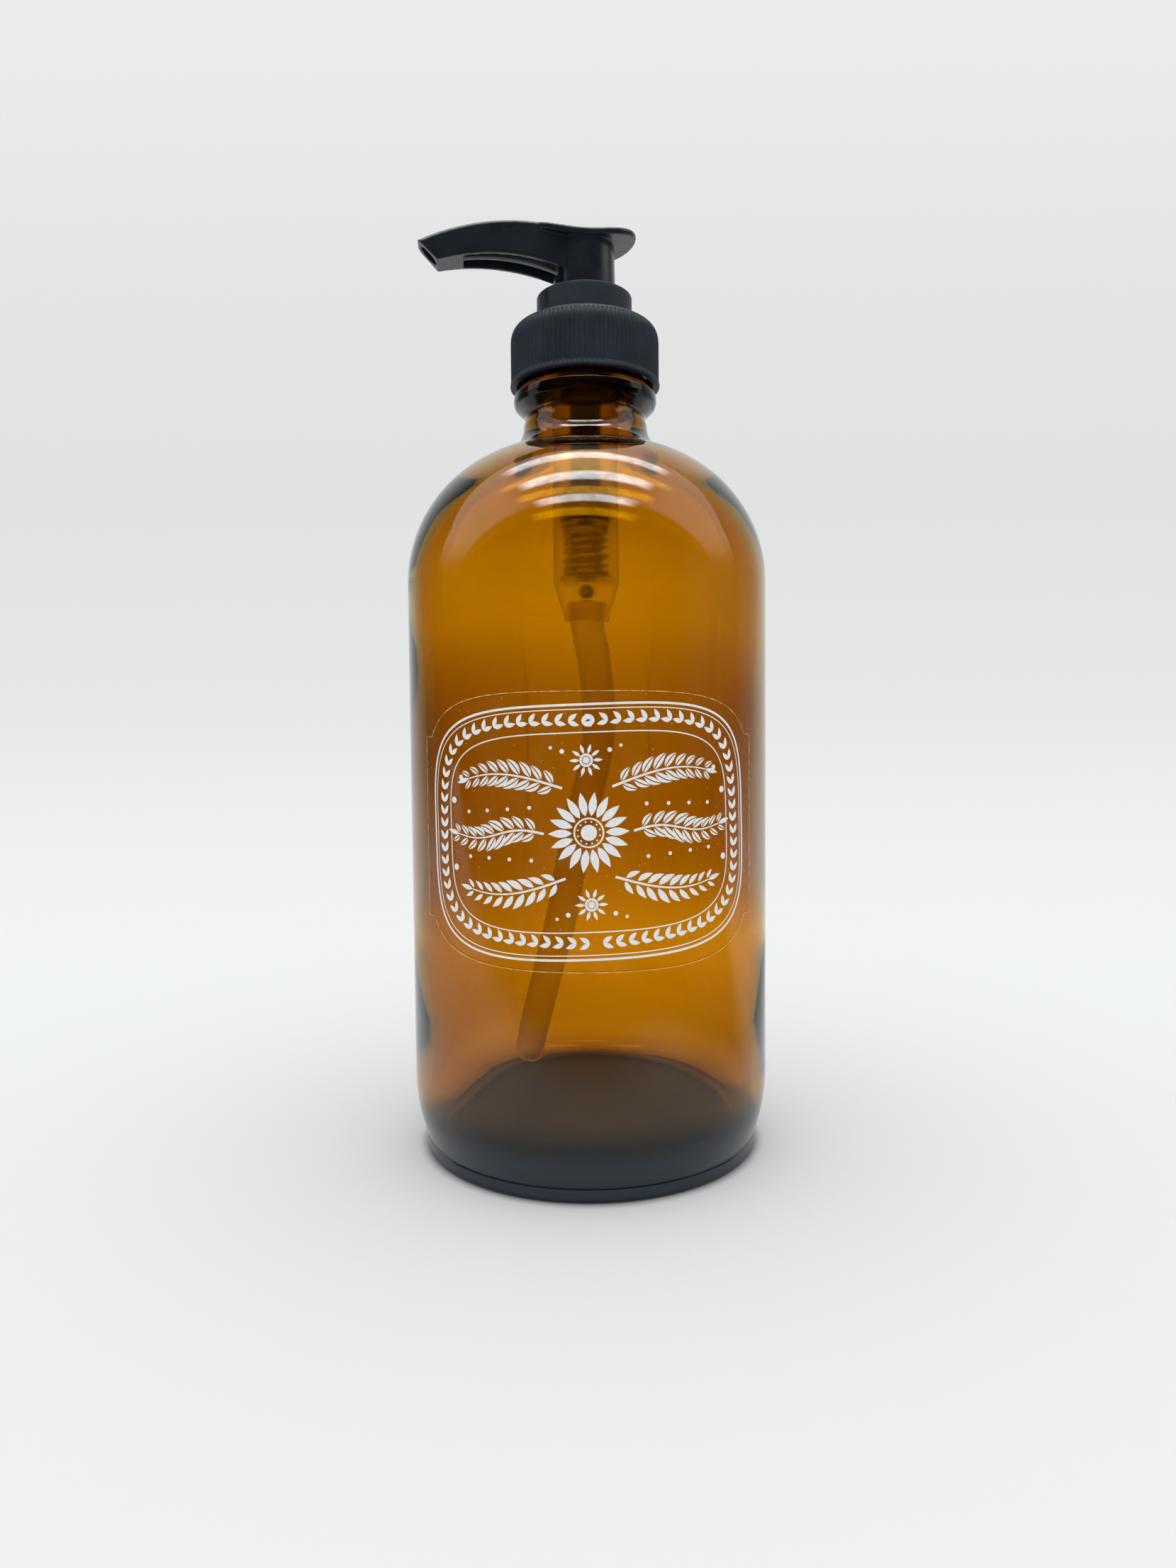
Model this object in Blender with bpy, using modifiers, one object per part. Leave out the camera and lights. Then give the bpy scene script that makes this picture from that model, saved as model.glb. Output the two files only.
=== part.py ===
"""Soap pump dispenser: an amber glass bottle with a lock-down lotion pump.

Metres, +Z up.  The bottle stands on the XY plane with its axis on Z, the label faces -Y and the
spout points to -X, turned a little towards the front.  The head is shown screwed down into its
collar.  Lengths are written in millimetres and multiplied by MM.
"""

from math import atan2, cos, pi, radians, sin, sqrt

import bmesh
import bpy
import numpy as np
from mathutils import Matrix, Vector

MM = 0.001

SHARP_ANGLE = 0.6              # radians; steeper edges stay sharp when shaded

# ---------------------------------------------------------------- clearances
SEAT_GAP = 0.3 * MM            # between pieces that rest on or fit in each other
RUN_GAP = 0.2 * MM             # between the piston's lips and the cylinder, and round the balls
LABEL_GAP = 0.15 * MM          # adhesive between film and glass

# ---------------------------------------------------------------- bottle
BODY_RADIUS = 37.0 * MM
SHOULDER_Z = 116.0 * MM        # where the straight wall ends
SHOULDER_RADIUS = 28.4 * MM    # of the rounded shoulder, in profile
NECK_RADIUS = 12.8 * MM          # at the foot of the neck
NECK_TAPER = 0.35 * MM           # how much slimmer it is under the bead
NECK_FILLET = 6.0 * MM
BEAD_RADIUS = 14.75 * MM       # transfer bead under the closure
BEAD_Z = 154.3 * MM
BEAD_RISE = 1.6 * MM           # from its widest line to its upper edge
BEAD_DROP = 3.4 * MM           # from its widest line to the neck
BEAD_LEDGE = 0.65 * MM         # how far the upper edge stands in from the widest line
FINISH_RADIUS = 12.6 * MM      # plain cylinder under the screw thread
FINISH_TOP = 164.5 * MM
LIP_ROUND = 0.5 * MM
BORE_RADIUS = 9.4 * MM
SIDE_WALL = 2.5 * MM
SHOULDER_WALL = 3.0 * MM
HEEL_Z = 15.7 * MM             # the wall starts to draw in below this height
HEEL_DRAW = 2.2 * MM           # how far it has drawn in at the foot band
FOOT_BAND = 3.2 * MM           # height of the nearly upright band under it
FOOT_ROUND = 1.1 * MM
FOOT_RING = 2.3 * MM           # width of the flat ring that the bottle stands on
PUSH_UP = 2.0 * MM             # hollow under the base
BASE_WALL = 3.6 * MM           # glass over the hollow, on the axis
INNER_HEEL = 7.0 * MM          # radius between inner floor and inner wall
FLOOR_SLOPE = 0.9 * MM         # the inner floor is lower at its edge than in its middle
BOTTLE_STEPS = 40

# ---------------------------------------------------------------- label
LABEL_WIDTH = 72.6 * MM        # along the arc
LABEL_HEIGHT = 50.6 * MM
LABEL_MIDDLE_Z = 68.2 * MM
LABEL_THICKNESS = 0.12 * MM
LABEL_ROUNDNESS = 4.0          # exponent of the outline: 2 is an ellipse, large is a rectangle

# ---------------------------------------------------------------- closure
CLOSURE_RADIUS = 15.3 * MM     # over the ribs
CLOSURE_WALL = 1.3 * MM
CLOSURE_SKIRT = 12.5 * MM      # from rim to top
CLOSURE_SHOULDER = 4.0 * MM    # radius of the rounded top edge
RIM_BAND = 1.2 * MM            # plain band under the ribs
RIM_FLARE = 0.28 * MM
RIB_COUNT = 100
RIB_DEPTH = 0.3 * MM
CLOSURE_STEPS = 2 * RIB_COUNT

# ---------------------------------------------------------------- collar, gasket, housing
GASKET_THICKNESS = 0.8 * MM
GASKET_RADIUS = 12.9 * MM
FLANGE_THICKNESS = 0.8 * MM
FLANGE_RADIUS = 12.4 * MM      # of the housing
COLLAR_RADIUS = 9.85 * MM
COLLAR_DRAFT = 0.05 * MM
COLLAR_RISE = 5.8 * MM         # above the closure's top
COLLAR_FLANGE_RADIUS = 11.2 * MM
COLLAR_WALL = 1.15 * MM
LOCK_DEPTH = 5.9 * MM          # how deep the head's column can go into the collar
NOTCH_WIDTH = 1.2 * MM
NOTCH_HEIGHT = 2.9 * MM
NOTCH_DEPTH = 0.5 * MM
NOTCH_TURN = 51.0              # degrees from the front, towards the spout
HOUSING_BORE = 5.65 * MM
HOUSING_WALL = 1.1 * MM
HOUSING_END = 108.0 * MM
HOUSING_TAPER = 9.0 * MM       # length from the straight barrel to the nipple's end
NIPPLE_WALL = 0.9 * MM
NIPPLE_DEPTH = 4.6 * MM        # of the socket for the dip tube
INLET_HOLE = 0.9 * MM
INLET_FLOOR = 0.75 * MM        # between the dip tube's socket and the ball's seat

# ---------------------------------------------------------------- valves, spring and plunger
INLET_BALL = 1.6 * MM          # radius
BALL_PLAY = 0.5 * MM           # between a ball and the side of its chamber
CAGE_THICKNESS = 1.0 * MM
CAGE_BAR = 1.0 * MM
SPRING_RADIUS = 4.4 * MM       # to the wire's centre
SPRING_WIRE = 0.8 * MM
SPRING_TURNS = 7
SPRING_LENGTH = 10.6 * MM      # over the end coils, with the head locked down
STROKE = 14.5 * MM             # of the head from locked to fully raised
SEAT_FLANGE = 1.2 * MM
SEAT_FLANGE_RADIUS = 4.9 * MM
SEAT_SKIRT_RADIUS = 3.3 * MM
SEAT_SKIRT_WALL = 0.9 * MM
SPIGOT_LENGTH = 4.5 * MM
SPIGOT_HOLE = 0.9 * MM
PISTON_LENGTH = 6.0 * MM
PISTON_LIP = 1.8 * MM          # height of each sealing lip
PISTON_WALL = 0.9 * MM
STEM_RADIUS = 3.2 * MM
STEM_BORE = 2.1 * MM
STEM_STOP_RADIUS = 4.6 * MM
STEM_STOP = 1.2 * MM           # thickness of the ring that stops the stroke
OUTLET_BALL = 1.5 * MM         # radius
OUTLET_LIFT = 1.0 * MM
OUTLET_HOLE = 0.9 * MM

# ---------------------------------------------------------------- dip tube
TUBE_RADIUS = 3.5 * MM
TUBE_WALL = 0.7 * MM
# where the tube's centre line passes, by eye: x, y and z
TUBE_ROUTE = [(0.1, 0.0, 107.0), (1.8, 0.2, 96.0), (2.3, 1.4, 86.5), (0.6, 3.6, 76.5), (-2.7, 6.6, 65.0),
              (-6.2, 11.0, 49.0), (-10.4, 16.6, 30.0), (-13.6, 20.6, 16.5), (-15.6, 23.2, 8.0)]

# ---------------------------------------------------------------- head
HEAD_TURN = 6.0                # degrees that the spout is turned towards the front
COLUMN_RADIUS = 6.5 * MM       # at its foot
COLUMN_DRAFT = 0.25 * MM
COLUMN_WALL = 1.0 * MM
SKIRT_CAVITY = 4.0 * MM        # depth of the ring-shaped hollow in the column's foot
SOCKET_WALL = 1.0 * MM         # round the stem's socket
SOCKET_DEPTH = 9.4 * MM
WEB_HALF_WIDTH = 3.0 * MM      # of the web between the two grooves under the spout
GROOVE_WIDTH = 1.3 * MM
SPOUT_TOP = 13.5 * MM          # highest line of the spout's edge above the collar
SPOUT_TOP_S = 15.0 * MM        # its distance from the axis
SPOUT_TOP_RADIUS = 47.3 * MM
SPOUT_LOW = 7.05 * MM          # highest line of the spout's lower edge above the collar
SPOUT_LOW_S = 19.5 * MM
SPOUT_LOW_RADIUS = 42.0 * MM
SPOUT_CROWN = 0.4 * MM
SPOUT_EDGE = 0.8 * MM          # radius along the two upper edges
SPOUT_ROOT_WIDTH = 10.0 * MM
SPOUT_TIP_WIDTH = 5.4 * MM
SPOUT_REACH = 33.7 * MM        # from the axis to the upper lip of the outlet
OUTLET_SLANT = 46.0            # degrees between the outlet's face and the horizontal
SPOUT_WALL = 1.1 * MM
RECESS_END = 24.7 * MM         # where the hollow under the spout stops
CHANNEL_RADIUS = 2.35 * MM     # outside of the flow channel under the spout's roof
CHANNEL_DROP = 0.4 * MM        # how far the channel stays above the side walls' edges
DUCT_RADIUS = 1.5 * MM
MOUTH_HALF_WIDTH = 1.55 * MM
MOUTH_HALF_HEIGHT = 2.15 * MM
PAD_LOW = 11.45 * MM           # lowest line of the thumb rest above the collar
PAD_LOW_S = -0.5 * MM
PAD_RADIUS = 34.0 * MM         # of its hollow, lengthwise
PAD_THICKNESS = 1.3 * MM
PAD_HALF_WIDTH = 7.1 * MM
PAD_CENTRE_S = -3.7 * MM       # where it is widest
PAD_FRONT = 14.5 * MM          # from there to the front edge
PAD_SQUARENESS = 4.0           # exponent of the outline in front of the widest line
PAD_EDGE = 0.25 * MM

# ---------------------------------------------------------------- heights that follow
GASKET_LOW = FINISH_TOP + SEAT_GAP
FLANGE_LOW = GASKET_LOW + GASKET_THICKNESS + SEAT_GAP
FLANGE_TOP = FLANGE_LOW + FLANGE_THICKNESS
COLLAR_LOW = FLANGE_TOP + SEAT_GAP
COLLAR_FLANGE_TOP = COLLAR_LOW + FLANGE_THICKNESS
CLOSURE_TOP = COLLAR_FLANGE_TOP + SEAT_GAP + CLOSURE_WALL
CLOSURE_RIM = CLOSURE_TOP - CLOSURE_SKIRT
COLLAR_TOP = CLOSURE_TOP + COLLAR_RISE
LOCK_RADIUS = COLUMN_RADIUS + SEAT_GAP
LOCK_FLOOR = COLLAR_TOP - LOCK_DEPTH
COLUMN_LOW = LOCK_FLOOR + 2 * SEAT_GAP
STEM_TOP = COLUMN_LOW + SOCKET_DEPTH - SEAT_GAP
HOUSING_FLOOR = HOUSING_END + NIPPLE_DEPTH + INLET_FLOOR + 2 * INLET_BALL + INLET_HOLE / 2
CAGE_LOW = HOUSING_FLOOR + SEAT_GAP
CAGE_TOP = CAGE_LOW + CAGE_THICKNESS
SPRING_LOW = CAGE_TOP + SEAT_GAP
SEAT_FLANGE_LOW = SPRING_LOW + SPRING_LENGTH + SEAT_GAP
SEAT_FLANGE_TOP = SEAT_FLANGE_LOW + SEAT_FLANGE
STEM_LOW = SEAT_FLANGE_TOP + SEAT_GAP
STEM_STOP_LOW = STEM_LOW + PISTON_LENGTH + SEAT_GAP
COLLAR_SLEEVE_END = STEM_STOP_LOW + STEM_STOP + STROKE + SEAT_GAP
INLET_CHAMBER = INLET_BALL + BALL_PLAY
OUTLET_CHAMBER = OUTLET_BALL + BALL_PLAY


# ---------------------------------------------------------------- scene and materials
def clear_scene():
    for item in list(bpy.data.objects):
        bpy.data.objects.remove(item, do_unlink=True)


def collection(name):
    group = bpy.data.collections.new(name)
    bpy.context.scene.collection.children.link(group)
    return group


def material(name, colour, roughness, metallic=0.0, clear=0.0):
    finish = bpy.data.materials.new(name)
    finish.use_nodes = True
    shader = finish.node_tree.nodes["Principled BSDF"]
    shader.inputs["Base Color"].default_value = (*colour, 1.0)
    shader.inputs["Roughness"].default_value = roughness
    shader.inputs["Metallic"].default_value = metallic
    shader.inputs["Transmission Weight"].default_value = clear
    finish.diffuse_color = (*colour, 1.0)
    return finish


def place(mesh, name, group, finish=None):
    """Links a new object for the mesh, shaded smooth with sharp edges kept."""
    mesh.shade_smooth()
    mesh.set_sharp_from_angle(angle=SHARP_ANGLE)
    item = bpy.data.objects.new(name, mesh)
    group.objects.link(item)
    if finish:
        mesh.materials.append(finish)
    return item


def as_cutter(item):
    item.hide_render = True
    item.display_type = "WIRE"
    return item


# ---------------------------------------------------------------- modelling tools
def arc(centre_r, centre_z, radius, start, end, count):
    """Points on an arc, from the angle start to end in degrees, both ends included."""
    angles = np.radians(np.linspace(start, end, count))
    return [(centre_r + radius * cos(a), centre_z + radius * sin(a)) for a in angles]


def turned(name, profile, steps, group, finish=None, closed=False):
    """A profile of (radius, height) points, top to bottom on its outer side, turned about Z."""
    mesh = bpy.data.meshes.new(name)
    edges = [(i, i + 1) for i in range(len(profile) - 1)]
    if closed:
        edges.append((len(profile) - 1, 0))
    mesh.from_pydata([(r, 0.0, z) for r, z in profile], edges, [])
    item = place(mesh, name, group, finish)
    screw = item.modifiers.new("turn", "SCREW")
    screw.steps = steps
    screw.render_steps = steps
    screw.use_merge_vertices = True
    screw.merge_threshold = 0.000001
    screw.use_smooth_shade = True
    return item


def loft(name, rings, group, finish=None):
    """Skins rings of equal point counts and caps both ends."""
    count = len(rings[0])
    points = [point for ring in rings for point in ring]
    faces = [tuple(range(count)), tuple(range(len(points) - count, len(points)))]
    for r in range(len(rings) - 1):
        for i in range(count):
            j = (i + 1) % count
            faces.append((r * count + i, r * count + j, (r + 1) * count + j, (r + 1) * count + i))
    mesh = bpy.data.meshes.new(name)
    mesh.from_pydata(points, [], faces)
    form = bmesh.new()
    form.from_mesh(mesh)
    bmesh.ops.recalc_face_normals(form, faces=form.faces)
    form.to_mesh(mesh)
    form.free()
    return place(mesh, name, group, finish)


def prism(name, outline, low, high, axis, group):
    """A flat outline of (a, b) points carried from low to high along the axis 'y' or 'z'."""
    if axis == "z":
        rings = [[(a, b, level) for a, b in outline] for level in (low, high)]
    else:
        rings = [[(a, level, b) for a, b in outline] for level in (low, high)]
    return loft(name, rings, group)


def pipe(name, points, radius, group, capped=True):
    """A round bar along the points, turned into a mesh with welded caps."""
    curve = bpy.data.curves.new(name, "CURVE")
    curve.dimensions = "3D"
    curve.bevel_depth = radius
    curve.bevel_resolution = 2
    curve.use_fill_caps = capped
    spline = curve.splines.new("POLY")
    spline.points.add(len(points) - 1)
    for spot, point in zip(spline.points, points):
        spot.co = (*point, 1.0)
    guide = bpy.data.objects.new(name + "_guide", curve)
    group.objects.link(guide)
    bpy.context.view_layer.update()
    mesh = bpy.data.meshes.new_from_object(guide.evaluated_get(bpy.context.evaluated_depsgraph_get()))
    mesh.name = name
    form = bmesh.new()
    form.from_mesh(mesh)
    bmesh.ops.remove_doubles(form, verts=form.verts, dist=0.000001)
    form.to_mesh(mesh)
    form.free()
    item = place(mesh, name, group)
    item.matrix_world = guide.matrix_world
    bpy.data.objects.remove(guide, do_unlink=True)
    return item


def combine(item, other, operation):
    """Adds a live Boolean modifier."""
    step = item.modifiers.new(operation.lower(), "BOOLEAN")
    step.operation = operation
    step.solver = "EXACT"
    step.object = as_cutter(other)
    return item


def smooth_curve(points, count):
    """Catmull-Rom curve through the points, sampled at count even steps of its parameter."""
    knots = [Vector(p) for p in points]
    knots = [2 * knots[0] - knots[1]] + knots + [2 * knots[-1] - knots[-2]]
    samples = []
    for t in np.linspace(0, len(points) - 1, count):
        i = min(int(t), len(points) - 2)
        u = t - i
        a, b, c, d = knots[i:i + 4]
        samples.append(0.5 * (2 * b + (c - a) * u + (2 * a - 5 * b + 4 * c - d) * u ** 2
                              + (3 * b - a - 3 * c + d) * u ** 3))
    return samples


# ---------------------------------------------------------------- bottle
def shoulder_line(offset, neck_radius, count):
    """Shoulder arc and neck fillet from the neck down to the straight wall, offset inwards.

    The arc's centre lies SHOULDER_RADIUS inside the wall.  The fillet touches the arc and the
    vertical line at neck_radius, so its centre follows from the distance between both centres.
    """
    radius = SHOULDER_RADIUS - offset
    fillet = NECK_FILLET + offset
    centre_r = BODY_RADIUS - SHOULDER_RADIUS
    fillet_r = neck_radius + fillet
    reach = radius + fillet
    fillet_z = SHOULDER_Z + sqrt(reach ** 2 - (fillet_r - centre_r) ** 2)
    meet = np.degrees(atan2(fillet_z - SHOULDER_Z, fillet_r - centre_r))
    return arc(fillet_r, fillet_z, fillet, 180, 180 + meet, count // 2 + 1)[:-1] + arc(
        centre_r, SHOULDER_Z, radius, meet, 0, count)


def bottle_profile():
    """From the middle of the inner floor, over the mouth, down the outside to the hollow base."""
    floor_mid = PUSH_UP + BASE_WALL
    floor_edge = floor_mid - FLOOR_SLOPE
    inner = BODY_RADIUS - SIDE_WALL
    foot = BODY_RADIUS - HEEL_DRAW
    inside = [(0, floor_mid), (inner * 0.45, floor_mid - FLOOR_SLOPE * 0.3)]
    inside += arc(inner - INNER_HEEL, floor_edge + INNER_HEEL, INNER_HEEL, -90, 0, 5)
    inside.append((inner, SHOULDER_Z - 2 * SIDE_WALL))
    inside += shoulder_line(SHOULDER_WALL, BORE_RADIUS, 7)[::-1]
    mouth = [(BORE_RADIUS, FINISH_TOP - LIP_ROUND), (BORE_RADIUS + LIP_ROUND, FINISH_TOP)]
    mouth += [(FINISH_RADIUS - LIP_ROUND, FINISH_TOP), (FINISH_RADIUS, FINISH_TOP - LIP_ROUND)]
    bead = [(FINISH_RADIUS, BEAD_Z + BEAD_RISE), (BEAD_RADIUS - BEAD_LEDGE, BEAD_Z + BEAD_RISE)]
    bead += [(BEAD_RADIUS, BEAD_Z + 0.4 * BEAD_RISE), (BEAD_RADIUS, BEAD_Z - 0.2 * BEAD_DROP)]
    bead += [(BEAD_RADIUS - 0.45 * BEAD_LEDGE, BEAD_Z - 0.45 * BEAD_DROP)]
    bead.append((NECK_RADIUS - NECK_TAPER, BEAD_Z - BEAD_DROP))
    outside = shoulder_line(0.0, NECK_RADIUS, 9)
    heel = [(BODY_RADIUS - HEEL_DRAW * share ** 2, HEEL_Z + (FOOT_BAND - HEEL_Z) * share)
            for share in (0.0, 0.35, 0.6, 0.8, 1.0)]
    heel += arc(foot - FOOT_ROUND, FOOT_ROUND, FOOT_ROUND, 0, -90, 5)
    ring = foot - FOOT_ROUND - FOOT_RING
    base = [(ring, 0), (ring - PUSH_UP, 0.5 * PUSH_UP), (0.6 * ring, PUSH_UP * 0.9), (0, PUSH_UP)]
    return inside + mouth + bead + outside + heel + base


def build_bottle(group, glass):
    return turned("bottle", bottle_profile(), BOTTLE_STEPS, group, glass)


def build_label(group, film):
    """Film wrapped on the body; each column's height follows the superellipse of the outline."""
    columns = 2 * round(LABEL_WIDTH / BODY_RADIUS * BOTTLE_STEPS / (4 * pi))
    rows = 2
    half = LABEL_WIDTH / 2
    radius = BODY_RADIUS + LABEL_GAP
    points = []
    for i in range(columns + 1):
        across = -half + LABEL_WIDTH * i / columns
        share = min(abs(across) / half, 0.94)
        tall = LABEL_HEIGHT / 2 * (1 - share ** LABEL_ROUNDNESS) ** (1 / LABEL_ROUNDNESS)
        angle = across / BODY_RADIUS
        for j in range(rows + 1):
            up = LABEL_MIDDLE_Z + tall * (2 * j / rows - 1)
            points.append((radius * sin(angle), -radius * cos(angle), up))
    faces = []
    for i in range(columns):
        for j in range(rows):
            a = i * (rows + 1) + j
            faces.append((a, a + rows + 1, a + rows + 2, a + 1))
    mesh = bpy.data.meshes.new("label")
    mesh.from_pydata(points, [], faces)
    item = place(mesh, "label", group, film)
    sheet = item.modifiers.new("film", "SOLIDIFY")
    sheet.thickness = LABEL_THICKNESS
    sheet.offset = 1.0
    return item


# ---------------------------------------------------------------- closure
def build_closure(group, cutters, black):
    """Ribbed shell as a loft of wavy rings, hollowed by a turned cutter."""
    shoulder_r = CLOSURE_RADIUS - CLOSURE_SHOULDER
    shoulder_z = CLOSURE_TOP - CLOSURE_SHOULDER
    levels = [(CLOSURE_RADIUS + RIM_FLARE, CLOSURE_RIM, 0.0)]
    levels.append((CLOSURE_RADIUS, CLOSURE_RIM + RIM_BAND, 0.0))
    levels.append((CLOSURE_RADIUS, CLOSURE_RIM + RIM_BAND + RIB_DEPTH, RIB_DEPTH))
    for share, (r, z) in zip((1.0, 0.0, 0.0, 0.0), arc(shoulder_r, shoulder_z, CLOSURE_SHOULDER, 0, 90, 4)):
        levels.append((r, z, RIB_DEPTH * share))
    rings = []
    for r, z, depth in levels:
        angles = [2 * pi * i / CLOSURE_STEPS for i in range(CLOSURE_STEPS)]
        rings.append([((r - depth * (i % 2)) * cos(a), (r - depth * (i % 2)) * sin(a), z)
                      for i, a in enumerate(angles)])
    item = loft("closure", rings, group, black)
    bore = CLOSURE_RADIUS - CLOSURE_WALL
    hollow = [(0, CLOSURE_TOP - CLOSURE_WALL)]
    hollow += arc(shoulder_r, shoulder_z, CLOSURE_SHOULDER - CLOSURE_WALL, 90, 0, 4)
    hollow += [(bore, CLOSURE_RIM - 2 * RIM_BAND), (0, CLOSURE_RIM - 2 * RIM_BAND)]
    hole = COLLAR_RADIUS + SEAT_GAP
    combine(item, turned("closure_hollow", hollow, 40, cutters), "DIFFERENCE")
    through = [(0, CLOSURE_TOP + 2 * MM), (hole, CLOSURE_TOP + 2 * MM), (hole, CLOSURE_RIM), (0, CLOSURE_RIM)]
    return combine(item, turned("closure_hole", through, 40, cutters), "DIFFERENCE")


# ---------------------------------------------------------------- pump body
def build_collar(group, cutters, black):
    """Ring with the lock recess above, a flange under the closure and a guide sleeve below."""
    guide = STEM_RADIUS + SEAT_GAP
    sleeve = HOUSING_BORE - SEAT_GAP
    recess_wall = LOCK_RADIUS + COLLAR_WALL
    inner_side = COLLAR_RADIUS - COLLAR_WALL
    profile = [(COLLAR_RADIUS - COLLAR_DRAFT, COLLAR_TOP), (COLLAR_RADIUS, COLLAR_FLANGE_TOP)]
    profile += [(COLLAR_FLANGE_RADIUS, COLLAR_FLANGE_TOP), (COLLAR_FLANGE_RADIUS, COLLAR_LOW)]
    profile += [(inner_side, COLLAR_LOW), (inner_side, COLLAR_TOP - COLLAR_WALL)]
    profile += [(recess_wall, COLLAR_TOP - COLLAR_WALL), (recess_wall, COLLAR_LOW)]
    profile += [(sleeve, COLLAR_LOW), (sleeve, COLLAR_SLEEVE_END), (guide, COLLAR_SLEEVE_END)]
    profile += [(guide, LOCK_FLOOR), (LOCK_RADIUS, LOCK_FLOOR)]
    profile += [(LOCK_RADIUS, COLLAR_TOP - SEAT_GAP), (LOCK_RADIUS + SEAT_GAP, COLLAR_TOP)]
    item = turned("lock_collar", profile, 32, group, black, closed=True)
    deep = COLLAR_RADIUS - NOTCH_DEPTH
    half = NOTCH_WIDTH / 2
    outline = [(deep, -half), (COLLAR_RADIUS + MM, -half), (COLLAR_RADIUS + MM, half), (deep, half)]
    middle = (COLLAR_TOP + CLOSURE_TOP) / 2
    notch = prism("collar_notch", outline, middle - NOTCH_HEIGHT / 2, middle + NOTCH_HEIGHT / 2, "z", cutters)
    notch.rotation_euler.z = radians(-90 - NOTCH_TURN)
    return combine(item, notch, "DIFFERENCE")


def build_gasket(group, foam):
    inner = BORE_RADIUS + SEAT_GAP
    top = GASKET_LOW + GASKET_THICKNESS
    profile = [(GASKET_RADIUS, top), (GASKET_RADIUS, GASKET_LOW), (inner, GASKET_LOW), (inner, top)]
    return turned("gasket", profile, 32, group, foam, closed=True)


def build_housing(group, natural):
    """Flanged barrel with the ball's seat in its floor and a socket for the tube below."""
    barrel = HOUSING_BORE + HOUSING_WALL
    socket = TUBE_RADIUS + SEAT_GAP
    nipple = socket + NIPPLE_WALL
    seat_low = HOUSING_FLOOR - 2 * INLET_BALL - INLET_HOLE / 2
    cone = INLET_CHAMBER - INLET_HOLE
    profile = [(FLANGE_RADIUS, FLANGE_TOP), (FLANGE_RADIUS, FLANGE_LOW), (barrel, FLANGE_LOW)]
    profile += [(barrel, HOUSING_END + HOUSING_TAPER), (barrel - 0.5 * (barrel - nipple),
                                                        HOUSING_END + 0.55 * HOUSING_TAPER)]
    profile += [(nipple, HOUSING_END + 0.2 * HOUSING_TAPER), (nipple, HOUSING_END), (socket, HOUSING_END)]
    profile += [(socket, HOUSING_END + NIPPLE_DEPTH), (INLET_HOLE, HOUSING_END + NIPPLE_DEPTH)]
    profile += [(INLET_HOLE, seat_low), (INLET_CHAMBER, seat_low + cone), (INLET_CHAMBER, HOUSING_FLOOR)]
    profile += [(HOUSING_BORE, HOUSING_FLOOR), (HOUSING_BORE, FLANGE_TOP)]
    return turned("housing", profile, 24, group, natural, closed=True)


def ball(name, radius, height, group, finish):
    mesh = bpy.data.meshes.new(name)
    form = bmesh.new()
    bmesh.ops.create_uvsphere(form, u_segments=12, v_segments=8, radius=radius)
    bmesh.ops.translate(form, verts=form.verts, vec=(0, 0, height))
    form.to_mesh(mesh)
    form.free()
    return place(mesh, name, group, finish)


def ball_height(ball_radius, hole_radius, seat_low):
    """Centre of a ball that lies RUN_GAP clear of a 45 degree cone opening upward from its hole."""
    apex = seat_low - hole_radius
    return apex + (ball_radius + RUN_GAP) * sqrt(2)


def build_inlet_ball(group, steel):
    seat_low = HOUSING_FLOOR - 2 * INLET_BALL - INLET_HOLE / 2
    return ball("inlet_ball", INLET_BALL, ball_height(INLET_BALL, INLET_HOLE, seat_low), group, steel)


def build_ball_cage(group, cutters, natural):
    """Ring on the housing's ledge with a cross above the ball."""
    outer = HOUSING_BORE - SEAT_GAP
    ring = [(outer, CAGE_TOP), (outer, CAGE_LOW), (INLET_CHAMBER, CAGE_LOW), (INLET_CHAMBER, CAGE_TOP)]
    item = turned("ball_cage", ring, 24, group, natural, closed=True)
    reach = SPRING_RADIUS - SPRING_WIRE
    half = CAGE_BAR / 2
    low = CAGE_TOP - 0.4 * CAGE_THICKNESS
    for turn in (0, 90):
        outline = [(-reach, -half), (reach, -half), (reach, half), (-reach, half)]
        bar = prism("cage_bar_%d" % turn, outline, low, CAGE_TOP + CAGE_BAR, "z", cutters)
        bar.rotation_euler.z = radians(turn)
        combine(item, bar, "UNION")
    return item


def build_spring(group, steel):
    """Round wire on a helix; the turns at both ends lie flat."""
    per_turn = 8
    count = SPRING_TURNS * per_turn + 1
    low = SPRING_LOW + SPRING_WIRE / 2
    rise = SPRING_LENGTH - SPRING_WIRE
    points = []
    for i in range(count):
        turn = i / per_turn
        share = min(max((turn - 0.5) / (SPRING_TURNS - 1), 0.0), 1.0)
        angle = 2 * pi * turn
        points.append((SPRING_RADIUS * cos(angle), SPRING_RADIUS * sin(angle), low + rise * share))
    item = pipe("return_spring", points, SPRING_WIRE / 2, group)
    item.data.materials.append(steel)
    return item


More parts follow.
